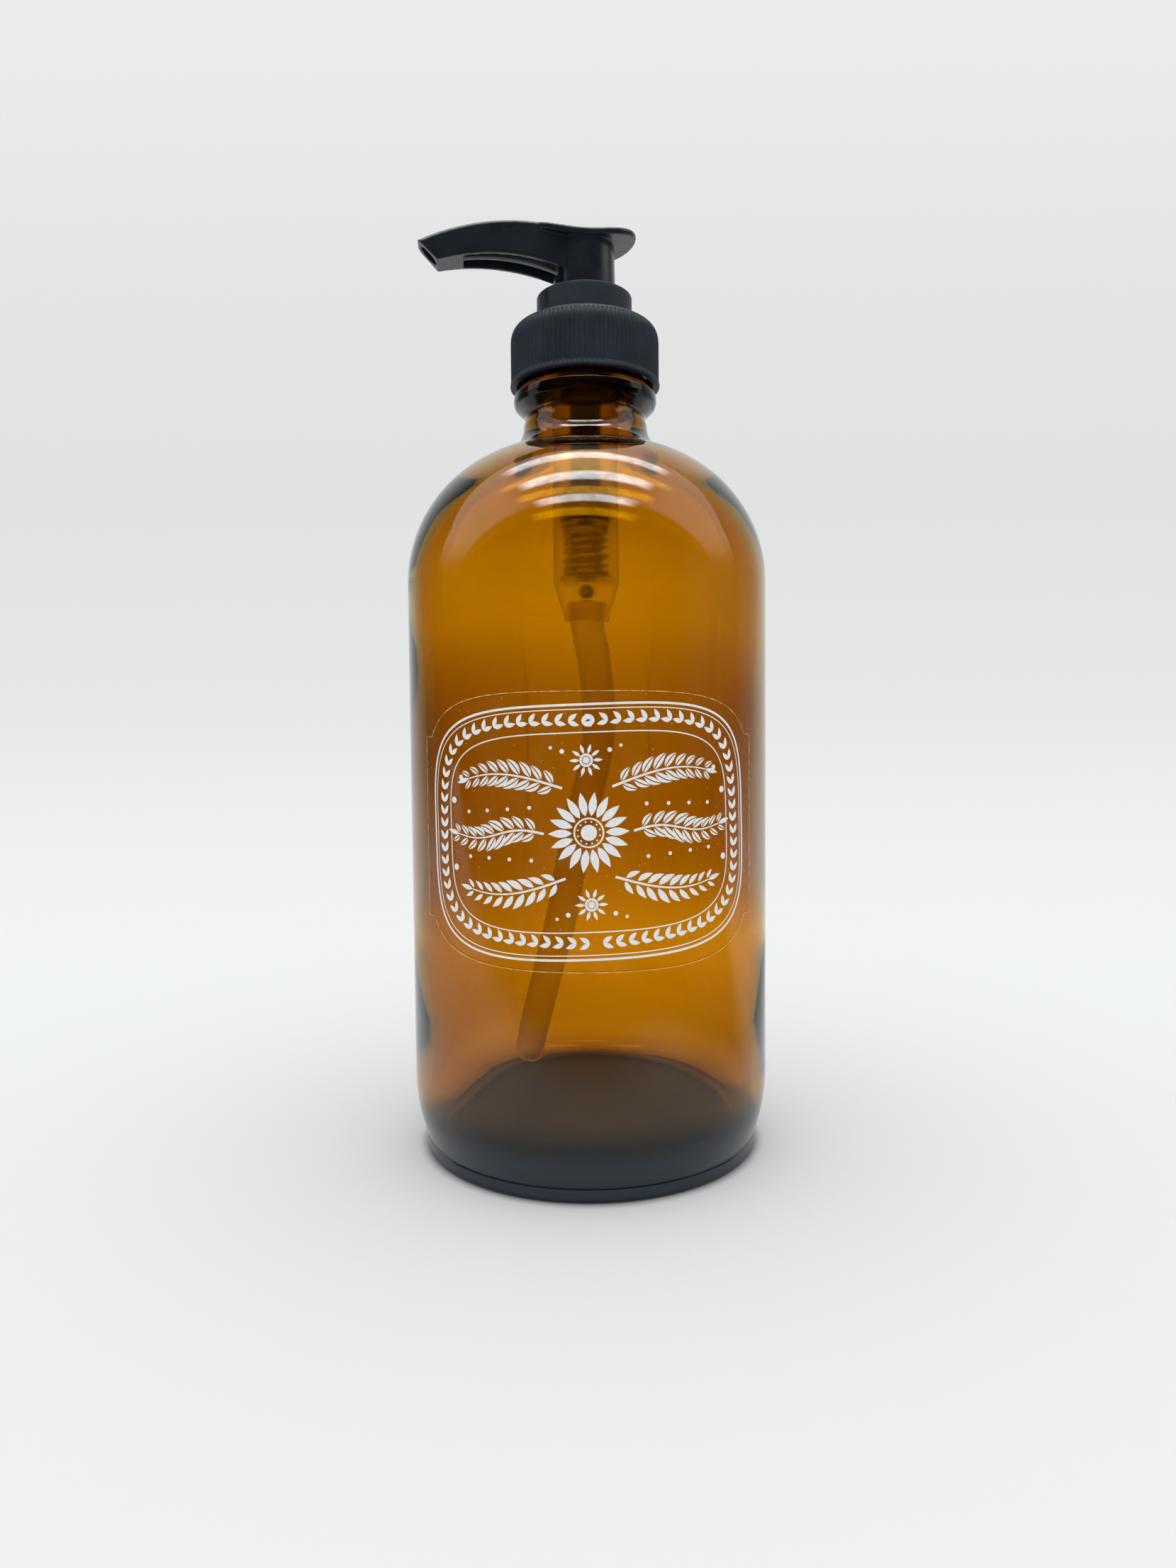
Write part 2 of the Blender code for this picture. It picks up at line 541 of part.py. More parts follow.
# ---------------------------------------------------------------- plunger
def build_piston_seat(group, natural):
    """Skirt inside the spring, flange above it and a spigot up into the stem."""
    skirt = SEAT_SKIRT_RADIUS
    skirt_low = CAGE_TOP + CAGE_BAR + 2 * SEAT_GAP
    inner = skirt - SEAT_SKIRT_WALL
    spigot = STEM_BORE - SEAT_GAP
    spigot_top = SEAT_FLANGE_TOP + SPIGOT_LENGTH
    profile = [(spigot, spigot_top), (spigot, SEAT_FLANGE_TOP), (SEAT_FLANGE_RADIUS, SEAT_FLANGE_TOP)]
    profile += [(SEAT_FLANGE_RADIUS, SEAT_FLANGE_LOW), (skirt, SEAT_FLANGE_LOW), (skirt, skirt_low)]
    profile += [(inner, skirt_low), (inner, SEAT_FLANGE_LOW - SEAT_SKIRT_WALL)]
    profile += [(SPIGOT_HOLE, SEAT_FLANGE_LOW), (SPIGOT_HOLE, spigot_top)]
    return turned("piston_seat", profile, 20, group, natural, closed=True)


def build_piston(group, soft):
    """Sleeve on the stem with a sealing lip at each end."""
    lip = HOUSING_BORE - RUN_GAP
    inner = STEM_RADIUS + SEAT_GAP
    sleeve = inner + PISTON_WALL
    low = STEM_LOW
    top = low + PISTON_LENGTH
    edge = lip - 0.4 * PISTON_WALL
    profile = [(sleeve, top - PISTON_LIP), (edge, top), (lip, top - 0.2 * PISTON_LIP)]
    profile += [(sleeve + 0.5 * PISTON_WALL, top - 1.4 * PISTON_LIP)]
    profile += [(sleeve + 0.5 * PISTON_WALL, low + 1.4 * PISTON_LIP), (lip, low + 0.2 * PISTON_LIP)]
    profile += [(edge, low), (sleeve, low + PISTON_LIP), (inner, low + 0.5 * PISTON_LIP)]
    profile += [(inner, top - 0.5 * PISTON_LIP)]
    return turned("piston", profile, 24, group, soft, closed=True)


def build_stem(group, black):
    """Hollow rod with a stop ring above the piston and the outlet valve's seat near its top."""
    chamber_low = outlet_seat() + OUTLET_CHAMBER - OUTLET_HOLE
    bore_top = outlet_seat() - STEM_BORE
    profile = [(STEM_RADIUS, STEM_TOP), (STEM_RADIUS, STEM_STOP_LOW + STEM_STOP)]
    profile += [(STEM_STOP_RADIUS, STEM_STOP_LOW + STEM_STOP), (STEM_STOP_RADIUS, STEM_STOP_LOW)]
    profile += [(STEM_RADIUS, STEM_STOP_LOW), (STEM_RADIUS, STEM_LOW), (STEM_BORE, STEM_LOW)]
    profile += [(STEM_BORE, bore_top), (OUTLET_HOLE, bore_top + STEM_BORE - OUTLET_HOLE)]
    profile += [(OUTLET_HOLE, outlet_seat()), (OUTLET_CHAMBER, chamber_low), (OUTLET_CHAMBER, STEM_TOP)]
    return turned("stem", profile, 20, group, black, closed=True)


def outlet_seat():
    """Height of the outlet valve's hole, so that the lifted ball just reaches the stem's top."""
    return STEM_TOP - OUTLET_LIFT - OUTLET_BALL - (OUTLET_BALL + RUN_GAP) * sqrt(2) + OUTLET_HOLE


def build_outlet_ball(group, steel):
    return ball("outlet_ball", OUTLET_BALL, ball_height(OUTLET_BALL, OUTLET_HOLE, outlet_seat()), group, steel)


def build_dip_tube(group, natural):
    """Tube pushed into the nipple, then along its route to just above the floor."""
    top = HOUSING_END + NIPPLE_DEPTH - SEAT_GAP
    route = [(0, 0, top), (0, 0, 0.5 * (top + HOUSING_END))] + [tuple(c * MM for c in p) for p in TUBE_ROUTE]
    item = pipe("dip_tube", smooth_curve(route, 28), TUBE_RADIUS, group, capped=False)
    wall = item.modifiers.new("wall", "SOLIDIFY")
    wall.thickness = TUBE_WALL
    wall.offset = -1.0
    item.data.materials.append(natural)
    return item


# ---------------------------------------------------------------- head
# The head is modelled with its spout along +X of its own frame: s runs from the axis to the spout's
# tip, q across it.  It is turned to its place at the end.
def on_arc(s, peak_s, peak_z, radius):
    """Height of a downward-opening circular arc with its peak at (peak_s, peak_z)."""
    return COLLAR_TOP + peak_z - radius + sqrt(radius ** 2 - (s - peak_s) ** 2)


def spout_top(s):
    return on_arc(s, SPOUT_TOP_S, SPOUT_TOP, SPOUT_TOP_RADIUS)


def spout_low(s):
    return on_arc(s, SPOUT_LOW_S, SPOUT_LOW, SPOUT_LOW_RADIUS)


def spout_half_width(s):
    """Parallel near the column, then narrowing faster towards the tip."""
    share = max(s - COLUMN_RADIUS, 0.0) / (SPOUT_REACH - COLUMN_RADIUS)
    return SPOUT_ROOT_WIDTH / 2 - (SPOUT_ROOT_WIDTH - SPOUT_TIP_WIDTH) / 2 * share ** 1.5


def spout_section(s):
    """One cross-section: flat sides, rounded upper edges and a crowned roof."""
    half = spout_half_width(s)
    low = spout_low(s)
    edge = spout_top(s)
    side = [(q, z) for q, z in arc(half - SPOUT_EDGE, edge - SPOUT_EDGE, SPOUT_EDGE, 0, 70, 4)]
    roof = [(half * share, edge + SPOUT_CROWN * (1 - share ** 2)) for share in (0.45, 0.0)]
    right = [(half - 0.3 * SPOUT_EDGE, low), (half, low + 0.3 * SPOUT_EDGE)] + side + roof
    left = [(-q, z) for q, z in right[-2::-1]]
    return [(s, q, z) for q, z in right + left]


def build_spout(cutters):
    """Solid outside of the spout, longer than its reach; the outlet's face is cut later."""
    stations = np.linspace(0.3 * COLUMN_RADIUS, SPOUT_REACH + 1.5 * MM, 15)
    return loft("spout_form", [spout_section(s) for s in stations], cutters)


def build_recess(cutters):
    """Hollow between the side walls, from the column to RECESS_END, under the roof."""
    rings = []
    for s in np.linspace(COLUMN_RADIUS - COLUMN_WALL, RECESS_END, 9):
        half = spout_half_width(s) - SPOUT_WALL
        low = spout_low(s) - MM
        high = spout_top(s) - SPOUT_WALL - SPOUT_EDGE
        rings.append([(s, -half, low), (s, half, low), (s, half, high), (s, -half, high)])
    return loft("spout_recess", rings, cutters)


def channel_z(s):
    """Height of the flow channel's centre, a fixed step above the spout's lower edge."""
    return spout_low(s) + CHANNEL_DROP + CHANNEL_RADIUS


def channel_line(first, last, count):
    return [(s, 0.0, channel_z(s)) for s in np.linspace(first, last, count)]


def build_duct(cutters):
    """Bore from behind the stem's socket along the channel to the outlet."""
    return pipe("duct", channel_line(-1.2 * OUTLET_BALL, RECESS_END, 10), DUCT_RADIUS, cutters)


def build_mouth(cutters):
    """Oval funnel that opens the duct to the outlet's face."""
    rings = []
    for s, wide, tall in ((RECESS_END - MM, DUCT_RADIUS, DUCT_RADIUS),
                          (SPOUT_REACH - 2 * MM, MOUTH_HALF_WIDTH, MOUTH_HALF_HEIGHT),
                          (SPOUT_REACH + 3 * MM, MOUTH_HALF_WIDTH, MOUTH_HALF_HEIGHT)):
        middle = (spout_low(s) + spout_top(s)) / 2
        if s < RECESS_END:
            middle = channel_z(s)
        rings.append([(s, wide * cos(a), middle + tall * sin(a)) for a in np.radians(range(0, 360, 30))])
    return loft("outlet_mouth", rings, cutters)


def build_outlet_cut(cutters):
    """Block whose face is the slanted plane of the outlet."""
    lip_z = spout_top(SPOUT_REACH)
    slant = radians(OUTLET_SLANT)
    back = 20 * MM
    low = (SPOUT_REACH - back * cos(slant), lip_z - back * sin(slant))
    high = (SPOUT_REACH + back * cos(slant), lip_z + back * sin(slant))
    outline = [low, (low[0] + 2 * back, low[1]), (high[0] + back, high[1]), high]
    return prism("outlet_cut", outline, -SPOUT_ROOT_WIDTH, SPOUT_ROOT_WIDTH, "y", cutters)


def pad_height(s):
    """Top of the thumb rest: an arc hollow lengthwise."""
    return COLLAR_TOP + PAD_LOW + PAD_RADIUS - sqrt(PAD_RADIUS ** 2 - (s - PAD_LOW_S) ** 2)


def build_pad(cutters):
    """Thumb rest: its plan is round behind and a superellipse in front, its top and bottom are arcs."""
    plan = []
    for a in np.radians(range(0, 360, 12)):
        c, q = cos(a), sin(a)
        if c < 0:
            plan.append((PAD_CENTRE_S + PAD_HALF_WIDTH * c, PAD_HALF_WIDTH * q))
        else:
            power = 2 / PAD_SQUARENESS
            plan.append((PAD_CENTRE_S + PAD_FRONT * c ** power,
                         PAD_HALF_WIDTH * abs(q) ** power * (1 if q > 0 else -1)))
    body = prism("pad_plan", plan, COLLAR_TOP, COLLAR_TOP + 2 * PAD_LOW, "z", cutters)
    ends = (PAD_CENTRE_S - PAD_HALF_WIDTH - MM, PAD_CENTRE_S + PAD_FRONT + MM)
    top = [(s, pad_height(s)) for s in np.linspace(*ends, 13)]
    under = [(s, z - PAD_THICKNESS) for s, z in top[::-1]]
    band = prism("pad_band", top + under, -2 * PAD_HALF_WIDTH, 2 * PAD_HALF_WIDTH, "y", cutters)
    combine(body, band, "INTERSECT")
    edge = body.modifiers.new("edge", "BEVEL")
    edge.width = PAD_EDGE
    edge.segments = 2
    edge.limit_method = "ANGLE"
    edge.angle_limit = radians(50)
    return body


def build_grooves(cutters):
    """Two upright grooves in the column, one on each side of the web under the spout."""
    near = COLUMN_RADIUS - 2 * COLUMN_WALL
    low = COLUMN_LOW + SKIRT_CAVITY + COLUMN_WALL
    high = spout_low(COLUMN_RADIUS) + COLUMN_WALL
    grooves = []
    for side in (1, -1):
        edges = sorted((side * WEB_HALF_WIDTH, side * (WEB_HALF_WIDTH + GROOVE_WIDTH)))
        outline = [(near, edges[0]), (near + 4 * MM, edges[0]), (near + 4 * MM, edges[1]), (near, edges[1])]
        grooves.append(prism("groove_%d" % (side + 1), outline, low, high, "z", cutters))
    return grooves


def build_actuator(group, cutters, black):
    column_top = pad_height(PAD_LOW_S) - PAD_THICKNESS / 2
    socket = STEM_RADIUS + SEAT_GAP
    socket_top = COLUMN_LOW + SOCKET_DEPTH
    duct_z = channel_z(0.0)
    column = [(0, column_top), (COLUMN_RADIUS - COLUMN_DRAFT, column_top), (COLUMN_RADIUS, COLUMN_LOW)]
    item = turned("actuator", column + [(0, COLUMN_LOW)], 32, group, black)
    combine(item, build_spout(cutters), "UNION")
    combine(item, build_pad(cutters), "UNION")
    combine(item, build_recess(cutters), "DIFFERENCE")
    line = channel_line(0.5 * COLUMN_RADIUS, RECESS_END + CHANNEL_RADIUS, 10)
    combine(item, pipe("channel", line, CHANNEL_RADIUS, cutters), "UNION")
    combine(item, build_duct(cutters), "DIFFERENCE")
    combine(item, build_mouth(cutters), "DIFFERENCE")
    combine(item, build_outlet_cut(cutters), "DIFFERENCE")
    bore = [(0, duct_z), (OUTLET_BALL - RUN_GAP, duct_z), (OUTLET_BALL - RUN_GAP, socket_top)]
    bore += [(socket, socket_top), (socket, COLUMN_LOW - MM), (0, COLUMN_LOW - MM)]
    combine(item, turned("stem_socket", bore, 20, cutters), "DIFFERENCE")
    cavity_top = COLUMN_LOW + SKIRT_CAVITY
    outer = COLUMN_RADIUS - COLUMN_WALL
    inner = socket + SOCKET_WALL
    cavity = [(outer, cavity_top), (outer, COLUMN_LOW - MM), (inner, COLUMN_LOW - MM), (inner, cavity_top)]
    combine(item, turned("skirt_cavity", cavity, 32, cutters, closed=True), "DIFFERENCE")
    for groove in build_grooves(cutters):
        combine(item, groove, "DIFFERENCE")
    item.rotation_euler.z = radians(180 + HEAD_TURN)
    return item


def turn_head_forms(cutters, before):
    """Turns the head's own cutters with it."""
    for form in cutters.objects:
        if form.name not in before:
            form.matrix_world = Matrix.Rotation(radians(180 + HEAD_TURN), 4, "Z") @ form.matrix_world


def main():
    clear_scene()
    parts = collection("soap_pump_dispenser")
    cutters = collection("cutters")
    glass = material("amber_glass", (0.42, 0.17, 0.01), 0.03, clear=1.0)
    film = material("clear_film", (0.9, 0.9, 0.88), 0.2, clear=0.9)
    black = material("black_polypropylene", (0.012, 0.013, 0.016), 0.32)
    natural = material("natural_polypropylene", (0.72, 0.7, 0.62), 0.35)
    soft = material("natural_polyethylene", (0.8, 0.8, 0.76), 0.45)
    foam = material("white_foam", (0.85, 0.85, 0.84), 0.8)
    steel = material("spring_steel", (0.6, 0.6, 0.58), 0.25, metallic=1.0)
    build_bottle(parts, glass)
    build_label(parts, film)
    build_closure(parts, cutters, black)
    build_collar(parts, cutters, black)
    build_gasket(parts, foam)
    build_housing(parts, natural)
    build_inlet_ball(parts, steel)
    build_ball_cage(parts, cutters, natural)
    build_spring(parts, steel)
    build_piston_seat(parts, natural)
    build_piston(parts, soft)
    build_stem(parts, black)
    build_outlet_ball(parts, steel)
    build_dip_tube(parts, natural)
    before = {form.name for form in cutters.objects}
    build_actuator(parts, cutters, black)
    turn_head_forms(cutters, before)


main()
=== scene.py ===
"""Soap pump dispenser: amber glass bottle with a black lock-down lotion pump.

Dresses the packed model: every solid gets a finely worked surface and its finish, on a pale
studio sweep.  Metres, +Z up, the label faces -Y.
"""

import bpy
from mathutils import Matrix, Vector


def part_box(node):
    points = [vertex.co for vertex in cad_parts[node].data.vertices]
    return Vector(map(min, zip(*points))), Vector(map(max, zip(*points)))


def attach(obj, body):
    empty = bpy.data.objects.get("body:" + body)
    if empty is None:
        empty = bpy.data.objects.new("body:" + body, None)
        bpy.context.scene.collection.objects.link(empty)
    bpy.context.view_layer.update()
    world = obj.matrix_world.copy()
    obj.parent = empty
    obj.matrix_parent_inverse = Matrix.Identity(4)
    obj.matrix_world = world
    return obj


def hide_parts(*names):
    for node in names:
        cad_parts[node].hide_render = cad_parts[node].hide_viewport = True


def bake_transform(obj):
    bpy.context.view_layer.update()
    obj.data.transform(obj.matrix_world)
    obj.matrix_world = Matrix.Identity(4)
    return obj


bl_info = {
    "name": "Soap pump dispenser",
    "version": (1, 0, 0),
    "blender": (4, 5, 0),
    "location": "3D View > Sidebar > Soap Pump",
    "description": "Builds the glass bottle, its label, the lotion pump and a studio sweep",
    "category": "Object",
}

from functools import reduce
from math import acos, atan2, cos, pi, radians, sin, sqrt

import bmesh
import bpy
import numpy as np
from bpy.props import FloatProperty, FloatVectorProperty, IntProperty, PointerProperty
from mathutils import Matrix

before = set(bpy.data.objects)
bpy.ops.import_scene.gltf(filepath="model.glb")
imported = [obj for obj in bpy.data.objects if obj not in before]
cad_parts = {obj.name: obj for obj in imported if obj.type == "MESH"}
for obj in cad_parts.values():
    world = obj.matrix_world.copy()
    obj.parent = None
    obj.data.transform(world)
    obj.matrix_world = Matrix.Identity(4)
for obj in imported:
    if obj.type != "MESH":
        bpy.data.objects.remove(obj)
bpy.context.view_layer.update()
MM = 0.001
GAP = 0.0003                       # between pieces that fit into one another
SEAM = 0.328                       # angle from the front to each of two ridges in the glass
BOTH = (1, -1)


# ---------------------------------------------------------------- what the frame gives
def low_z(node):
    """Lowest height of a node."""
    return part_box(node)[0].z


def high_z(node):
    """Greatest height of a node."""
    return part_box(node)[1].z


def half_width(node):
    """Half of a node's width along X."""
    low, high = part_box(node)
    return (high.x - low.x) / 2


def length(name, description, default):
    return FloatProperty(name=name, description=description, default=default, min=0.0, precision=5,
                         unit="LENGTH")


def colour(name, description, default):
    return FloatVectorProperty(name=name, description=description, default=default, size=3, min=0.0,
                               max=1.0, subtype="COLOR")


def share(name, description, default, top=1.0):
    return FloatProperty(name=name, description=description, default=default, min=0.0, max=top)


def degrees(name, description, default):
    return FloatProperty(name=name, description=description + ", in degrees", default=default, precision=3)


# ---------------------------------------------------------------- sizes and colours
class BottleSizes(bpy.types.PropertyGroup):
    """Glass bottle."""
    body_radius: length("Body radius", "Outside of the straight wall", half_width("bottle"))
    finish_top: length("Finish top", "Height of the sealing lip", high_z("bottle"))
    shoulder_start: length("Shoulder start", "Height where the straight wall ends", 0.116)
    shoulder_radius: length("Shoulder radius", "Radius of the rounded shoulder in profile", 0.0284)
    neck_radius: length("Neck radius", "Outside of the neck over its fillet", 0.0128)
    neck_taper: length("Neck taper", "How much slimmer the neck is under the bead", 0.00035)
    neck_fillet: length("Neck fillet", "Radius between the shoulder and the neck", 0.006)
    bead_radius: length("Bead radius", "Transfer bead under the closure", 0.01475)
    bead_height: length("Bead height", "Height of the bead's widest line", 0.1543)
    finish_radius: length("Finish radius", "Cylinder that carries the thread", 0.0126)
    thread_height: length("Thread height", "How far the thread stands out", 0.001)
    thread_pitch: length("Thread pitch", "Rise of the thread in one turn", 0.00423)
    bore_radius: length("Bore radius", "Inside of the neck", 0.0094)
    side_wall: length("Side wall", "Glass of the straight wall", 0.0025)
    shoulder_wall: length("Shoulder wall", "Glass of the shoulder", 0.0022)
    heel_height: length("Heel height", "Height where the wall starts to draw in", 0.0157)
    heel_draw: length("Heel draw", "How far it has drawn in at the foot band", 0.0022)
    foot_band: length("Foot band", "Height of the nearly upright band at the foot", 0.0032)
    foot_round: length("Foot round", "Radius of the foot's outer edge", 0.0011)
    foot_ring: length("Foot ring", "Width of the ring it stands on", 0.0023)
    push_up: length("Push-up", "Hollow under the base", 0.002)
    base_wall: length("Base wall", "Glass over the hollow", 0.0036)
    inner_heel: length("Inner heel", "Radius between inner floor and wall", 0.007)
    floor_slope: length("Floor slope", "How much lower the floor is at its edge", 0.0009)


class LabelSizes(bpy.types.PropertyGroup):
    """Clear film with white print."""
    width: length("Width", "Along the arc", 0.0722)
    height: length("Height", "Of the film", 0.0500)
    middle: length("Middle", "Height of the film's middle", (low_z("label") + high_z("label")) / 2)
    roundness: FloatProperty(name="Roundness", description="Exponent of the outline", default=4.0, min=2.0)
    lift: length("Lift", "From the glass to the film's outer face", 0.00025)


class ClosureSizes(bpy.types.PropertyGroup):
    """Ribbed screw closure and the collar above it."""
    radius: length("Radius", "Over the ribs", 0.0153)
    wall: length("Wall", "Thickness of the shell", 0.0013)
    shoulder: length("Shoulder", "Radius of the rounded top edge", 0.004)
    rim_band: length("Rim band", "Plain band under the ribs", 0.0012)
    flare: length("Flare", "How far the rim stands out", 0.00016)
    rib_count: IntProperty(name="Ribs", description="Number of upright ribs", default=102, min=12)
    rib_depth: length("Rib depth", "From crest to root", 0.00028)
    collar_radius: length("Collar radius", "Outside of the lock collar", 0.00985)
    collar_flange: length("Collar flange", "Flange under the closure", 0.0112)
    notch_turn: degrees("Notch turn", "From the front to the spout's side", 51.0)


class HeadSizes(bpy.types.PropertyGroup):
    """Pump head."""
    turn: degrees("Turn", "How far the spout turns to the front", 6.0)
    column_radius: length("Column radius", "At the column's foot", 0.0065)
    column_draft: length("Column draft", "Loss of radius towards the top", 0.00025)
    spout_reach: length("Spout reach", "From the axis to the upper lip", 0.0337)
    spout_root: length("Spout root", "Width at the column", 0.010)
    spout_tip: length("Spout tip", "Width at the outlet", 0.0054)
    spout_wall: length("Spout wall", "Thickness of its side walls", 0.0011)
    pad_half: length("Pad half width", "Of the thumb rest", 0.0071)
    pad_thickness: length("Pad thickness", "Of the thumb rest", 0.0013)
    grain: length("Grain", "Cell size of the moulded surface", 0.0002)


class PumpSizes(bpy.types.PropertyGroup):
    """Pieces inside the bottle."""
    barrel_bore: length("Barrel bore", "Inside of the pump housing", 0.00565)
    barrel_wall: length("Barrel wall", "Wall of the pump housing", 0.0011)
    stem_radius: length("Stem radius", "Outside of the stem", 0.0032)
    stem_bore: length("Stem bore", "Inside of the stem", 0.0021)
    tube_radius: length("Tube radius", "Outside of the dip tube", 0.0035)
    tube_wall: length("Tube wall", "Of the dip tube", 0.0007)
    wire: length("Spring wire", "Diameter of the spring's wire", 0.0008)
    turns: IntProperty(name="Turns", description="Turns of the spring", default=7, min=3)


class Finishes(bpy.types.PropertyGroup):
    """Colours of the materials."""
    glass: colour("Glass", "Light that the glass lets through, by depth", (0.844, 0.778, 0.0))
    glass_tint: colour("Glass tint", "Light that each wall lets through at any depth", (1.0, 0.65, 0.02))
    glass_density: share("Glass density", "Strength of the glass's colour", 900.0, top=10000.0)
    # painted shade: dark colour of the foot and floor glass, standing for the shadow under the bottle
    painted_base_shade: colour("Dark glass", "Foot and floor of the bottle", (0.005, 0.012, 0.022))
    black: colour("Black", "Closure, collar, head and stem", (0.0065, 0.0100, 0.0140))
    natural: colour("Natural", "Housing and dip tube", (0.98, 0.90, 0.78))
    smoky: colour("Smoky", "Lower part of the stem", (0.85, 0.74, 0.58))
    print_white: colour("Print", "White ink", (0.80, 0.81, 0.80))
    steel: colour("Steel", "Spring and balls", (0.80, 0.78, 0.72))
    foam: colour("Foam", "Gasket", (0.82, 0.82, 0.80))


class StageSettings(bpy.types.PropertyGroup):
    """Sweep, lamps and camera."""
    sweep: colour("Sweep", "Floor and backdrop", (0.905, 0.92, 0.912))
    backdrop: length("Backdrop", "Distance of the backdrop behind the bottle", 0.60)
    bend: length("Bend", "Radius between floor and backdrop", 0.32)
    camera_distance: length("Camera distance", "From the bottle's axis", 0.2175)
    camera_height: length("Camera height", "Above the floor", 0.0861)
    camera_side: FloatProperty(name="Camera side", description="Along X", default=-0.000083, unit="LENGTH")
    camera_pitch: degrees("Camera pitch", "Downwards", 2.95)
    camera_roll: degrees("Camera roll", "About the line of sight", -0.494)
    camera_lens: length("Camera lens", "Focal length for a film 36 mm high", 0.0235986)
    fill: share("Fill", "Light from all around", 1.06, top=3.0)
    bars: share("Lamp bars", "Strength of the three bars overhead", 11.0, top=100.0)
    # painted shadow: within this radius of the axis the paper is painted dark, as the bottle's shadow
    spot: length("Dark spot", "Radius of the dark paper under the bottle", 0.033)


GROUPS = {"pump_bottle": BottleSizes, "pump_label": LabelSizes, "pump_closure": ClosureSizes,
          "pump_head": HeadSizes, "pump_inside": PumpSizes, "pump_finishes": Finishes,
          "pump_stage": StageSettings}


# ---------------------------------------------------------------- node materials
class Nodes:
    """The node tree of a material or of the world, with short calls to add and join nodes."""

    def __init__(self, owner, out="OutputMaterial"):
        owner.use_nodes = True
        self.tree = owner.node_tree
        self.tree.nodes.clear()
        self.out = self.add(out)

    def add(self, kind, inputs=(), **settings):
        """A node whose inputs are given as values or as other nodes' outputs."""
        node = self.tree.nodes.new("ShaderNode" + kind)
        for name, value in settings.items():
            setattr(node, name, value)
        for name, value in dict(inputs).items():
            self.put(node.inputs[name], value)
        return node

    def put(self, socket, value):
        if isinstance(value, bpy.types.NodeSocket):
            self.tree.links.new(value, socket)
        else:
            socket.default_value = value

    def place(self):
        return self.add("TexCoord").outputs["Object"]

    def xyz(self, vector):
        return self.add("SeparateXYZ", {"Vector": vector}).outputs

    def far(self, vector):
        """Distance from the origin."""
        return self.add("VectorMath", {0: vector}, operation="LENGTH").outputs["Value"]

    def noise(self, scale, detail=2.0, rough=0.5, vector=None):
        return self.add("TexNoise", {"Vector": vector or self.place(), "Scale": scale, "Detail": detail,
                                     "Roughness": rough}).outputs["Fac"]

    def cells(self, scale):
        return self.add("TexVoronoi", {"Vector": self.place(), "Scale": scale}).outputs["Distance"]

    def mapped(self, value, low, high, to_low=0.0, to_high=1.0, kind="LINEAR"):
        """The value carried from the range low..high to another one, level outside it."""
        return self.add("MapRange", {"Value": value, "From Min": low, "From Max": high, "To Min": to_low,
                                     "To Max": to_high}, interpolation_type=kind).outputs["Result"]

    def eased(self, value, low, high, to_low=0.0, to_high=1.0):
        """The same with a soft start and end; low may be the larger one."""
        return self.mapped(value, low, high, to_low, to_high, "SMOOTHSTEP")

    def math(self, operation, *values):
        """The operation on the first two values, then on its result and the next one, and so on."""
        return reduce(lambda a, b: self.add("Math", {0: a, 1: b}, operation=operation).outputs[0], values)

    def absolute(self, value):
        return self.add("Math", {0: value}, operation="ABSOLUTE").outputs[0]

    def total(self, *values):
        return self.math("ADD", *values)

    def product(self, *values):
        return self.math("MULTIPLY", *values)

    def highest(self, *values):
        return self.math("MAXIMUM", *values)

    def without(self, amount):
        return self.math("SUBTRACT", 1.0, amount)

    def ramp(self, value, stops):
        """Value looked up between stops of (position, grey or colour)."""
        node = self.add("ValToRGB", {"Fac": value})
        while len(node.color_ramp.elements) < len(stops):
            node.color_ramp.elements.new(0.5)
        for element, (position, tone) in zip(node.color_ramp.elements, stops):
            element.position = position
            element.color = rgba((tone, tone, tone) if isinstance(tone, float) else tone)
        return node.outputs["Color"]

    def bump(self, height, strength, distance):
        return self.add("Bump", {"Height": height, "Strength": strength,
                                 "Distance": distance}).outputs["Normal"]

    def mix(self, factor, first, second):
        return self.add("Mix", {0: factor, 6: first, 7: second}, data_type="RGBA").outputs[2]

    def shades(self, pattern, base, first, second, low=0.3, high=0.7):
        """The base colour, which the pattern takes from first to second times its value."""
        return self.mix(self.mapped(pattern, low, high), rgba(base, first), rgba(base, second))

    def principled(self, inputs):
        shader = self.add("BsdfPrincipled", inputs)
        self.put(self.out.inputs["Surface"], shader.outputs["BSDF"])
        return shader

    def either(self, factor, first, second):
        """The surface goes from the first shader to the second."""
        mix = self.add("MixShader", {0: factor, 1: first.outputs[0], 2: second.outputs[0]})
        self.put(self.out.inputs["Surface"], mix.outputs[0])


def rgba(values, times=1.0):
    return (*(value * times for value in values), 1.0)


